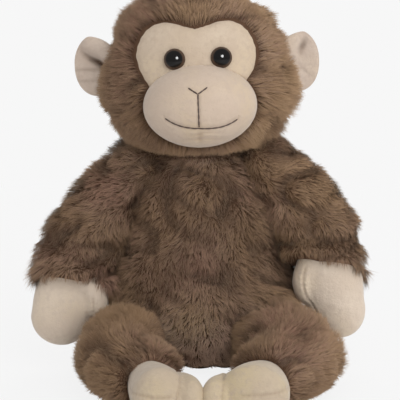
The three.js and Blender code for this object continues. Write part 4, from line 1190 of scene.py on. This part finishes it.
# For each leg: its side, name and seed, its spine with widths and depths, the foot's spine with
# widths, and the big toe's spine.
LEGS = (
    (-1, "right", 80,
     [(36, -20, 22), (49, -45, 22), (52, -70, 21.5), (45, -90.5, 21), (33.5, -105, 20)],
     [23, 25.5, 24, 23.5, 24.5], [17.5, 23, 22.5, 20, 17.5],
     [(34, -105, 19.5), (28, -124, 19), (24.5, -140, 18.5)], [13, 16.5, 17.5],
     [(11.5, -122, 17), (7, -135, 18), (5, -144, 18.5)]),
    (1, "left", 90,
     [(36, -20, 23), (55, -45, 23), (62.5, -70, 21.5), (54, -90.5, 21), (40.5, -105, 20)],
     [23, 27.5, 26.5, 22, 22], [20, 26, 24, 21, 17.5],
     [(41, -105, 19.5), (36, -124, 20), (32.5, -140, 20)], [13, 19.5, 22],
     [(16, -122, 16.5), (10.5, -135, 17.5), (8.5, -144, 18.5)]))
# Its last colour is the painted shade of its folds.
foot_velour = velour_finish("foot_velour", (203, 186, 163), (188, 170, 149), (198, 180, 148),
                            (138, 114, 94))
for side, name, seed, spine, widths, depths, foot_spine, foot_widths, toe_spine in LEGS:
    spine = place_of(side, *spine)
    points, faces = limb(spine, widths, depths, 23, 6, UP, 44, 56)
    points[:, 2] = np.maximum(points[:, 2], 0.3)
    inner = side * points[:, 0]
    points[:, 0] = side * np.where(points[:, 1] > -62, np.maximum(inner, 26.6), inner)
    thigh = piece(f"{name}_leg_padding", points, faces, brown_backing)
    stuff(thigh, 1.2, lambda p: (p[:, 2] < 3) | (p[:, 1] > -20) | (p[:, 1] < -100))
    creased(thigh, seed + 7, LONG_ROLLS)
    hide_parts(f"{name}_leg_skin", f"{name}_leg_stuffing")
    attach(thigh, f"{name}_leg")
    at, out = roots_on(thigh, seed, lambda p: (p[:, 2] > 1.5) & ~in_torso(p, 5))
    way, middle, beyond = down_the_limb(spine, at)
    outwards = unit(beside(at - middle, way))
    kept = np.linalg.norm(at - middle - way * beyond[:, None] * (beyond > 0)[:, None], axis=1) > 12.5
    at, out, way, outwards, beyond = (values[kept] for values in (at, out, way, outwards, beyond))
    sway = 0.5 * waves(at, 40, seed + 5)[:, None] * np.cross(way, outwards)
    rim = np.clip(1 + beyond / 5, 0, 1)[:, None]
    flow = (sway - way) * (1 - rim) + outwards * rim
    # Painted shade darkens the leg's pile where it lies against the torso.
    pile(f"{name}_leg_fur", at, out, flow, (7.5 - 1.5 * rim[:, 0]) * near_floor(at), seed, brown_pile,
         f"{name}_leg", 2, rolls=seed + 7, squeeze=LONG_ROLLS,
         tone_and_painted_light=-0.02 - 0.25 * in_torso(at, -5), warmth=0.35)
    sole = limb(place_of(side, *foot_spine), foot_widths, SOLE_DEPTHS, 4, 14, UP, 20, 48)
    toe = limb(place_of(side, *toe_spine), TOE_WIDTHS, TOE_DEPTHS, 6, 8, UP, 8, 28)
    cleft = place_of(side, (17, -118, 26), (15, -128, 30), (14, -140, 30), (13.5, -150, 22),
                     (14, -152, 14))
    tread = place_of(side, *(np.array(foot_spine[2]) + offset
                             for offset in ((20, 8, 4), (14, -8, 5), (2, -13, 4.5), (-10, -12, 4))))
    mitt(f"{name}_foot_velour", [sole, toe], f"{name}_leg", f"{name}_foot_skin",
         lambda p: (p[:, 1] > -108) | (p[:, 2] < 2.5), [(cleft, 0.5), (tread, 0.5)], foot_velour)
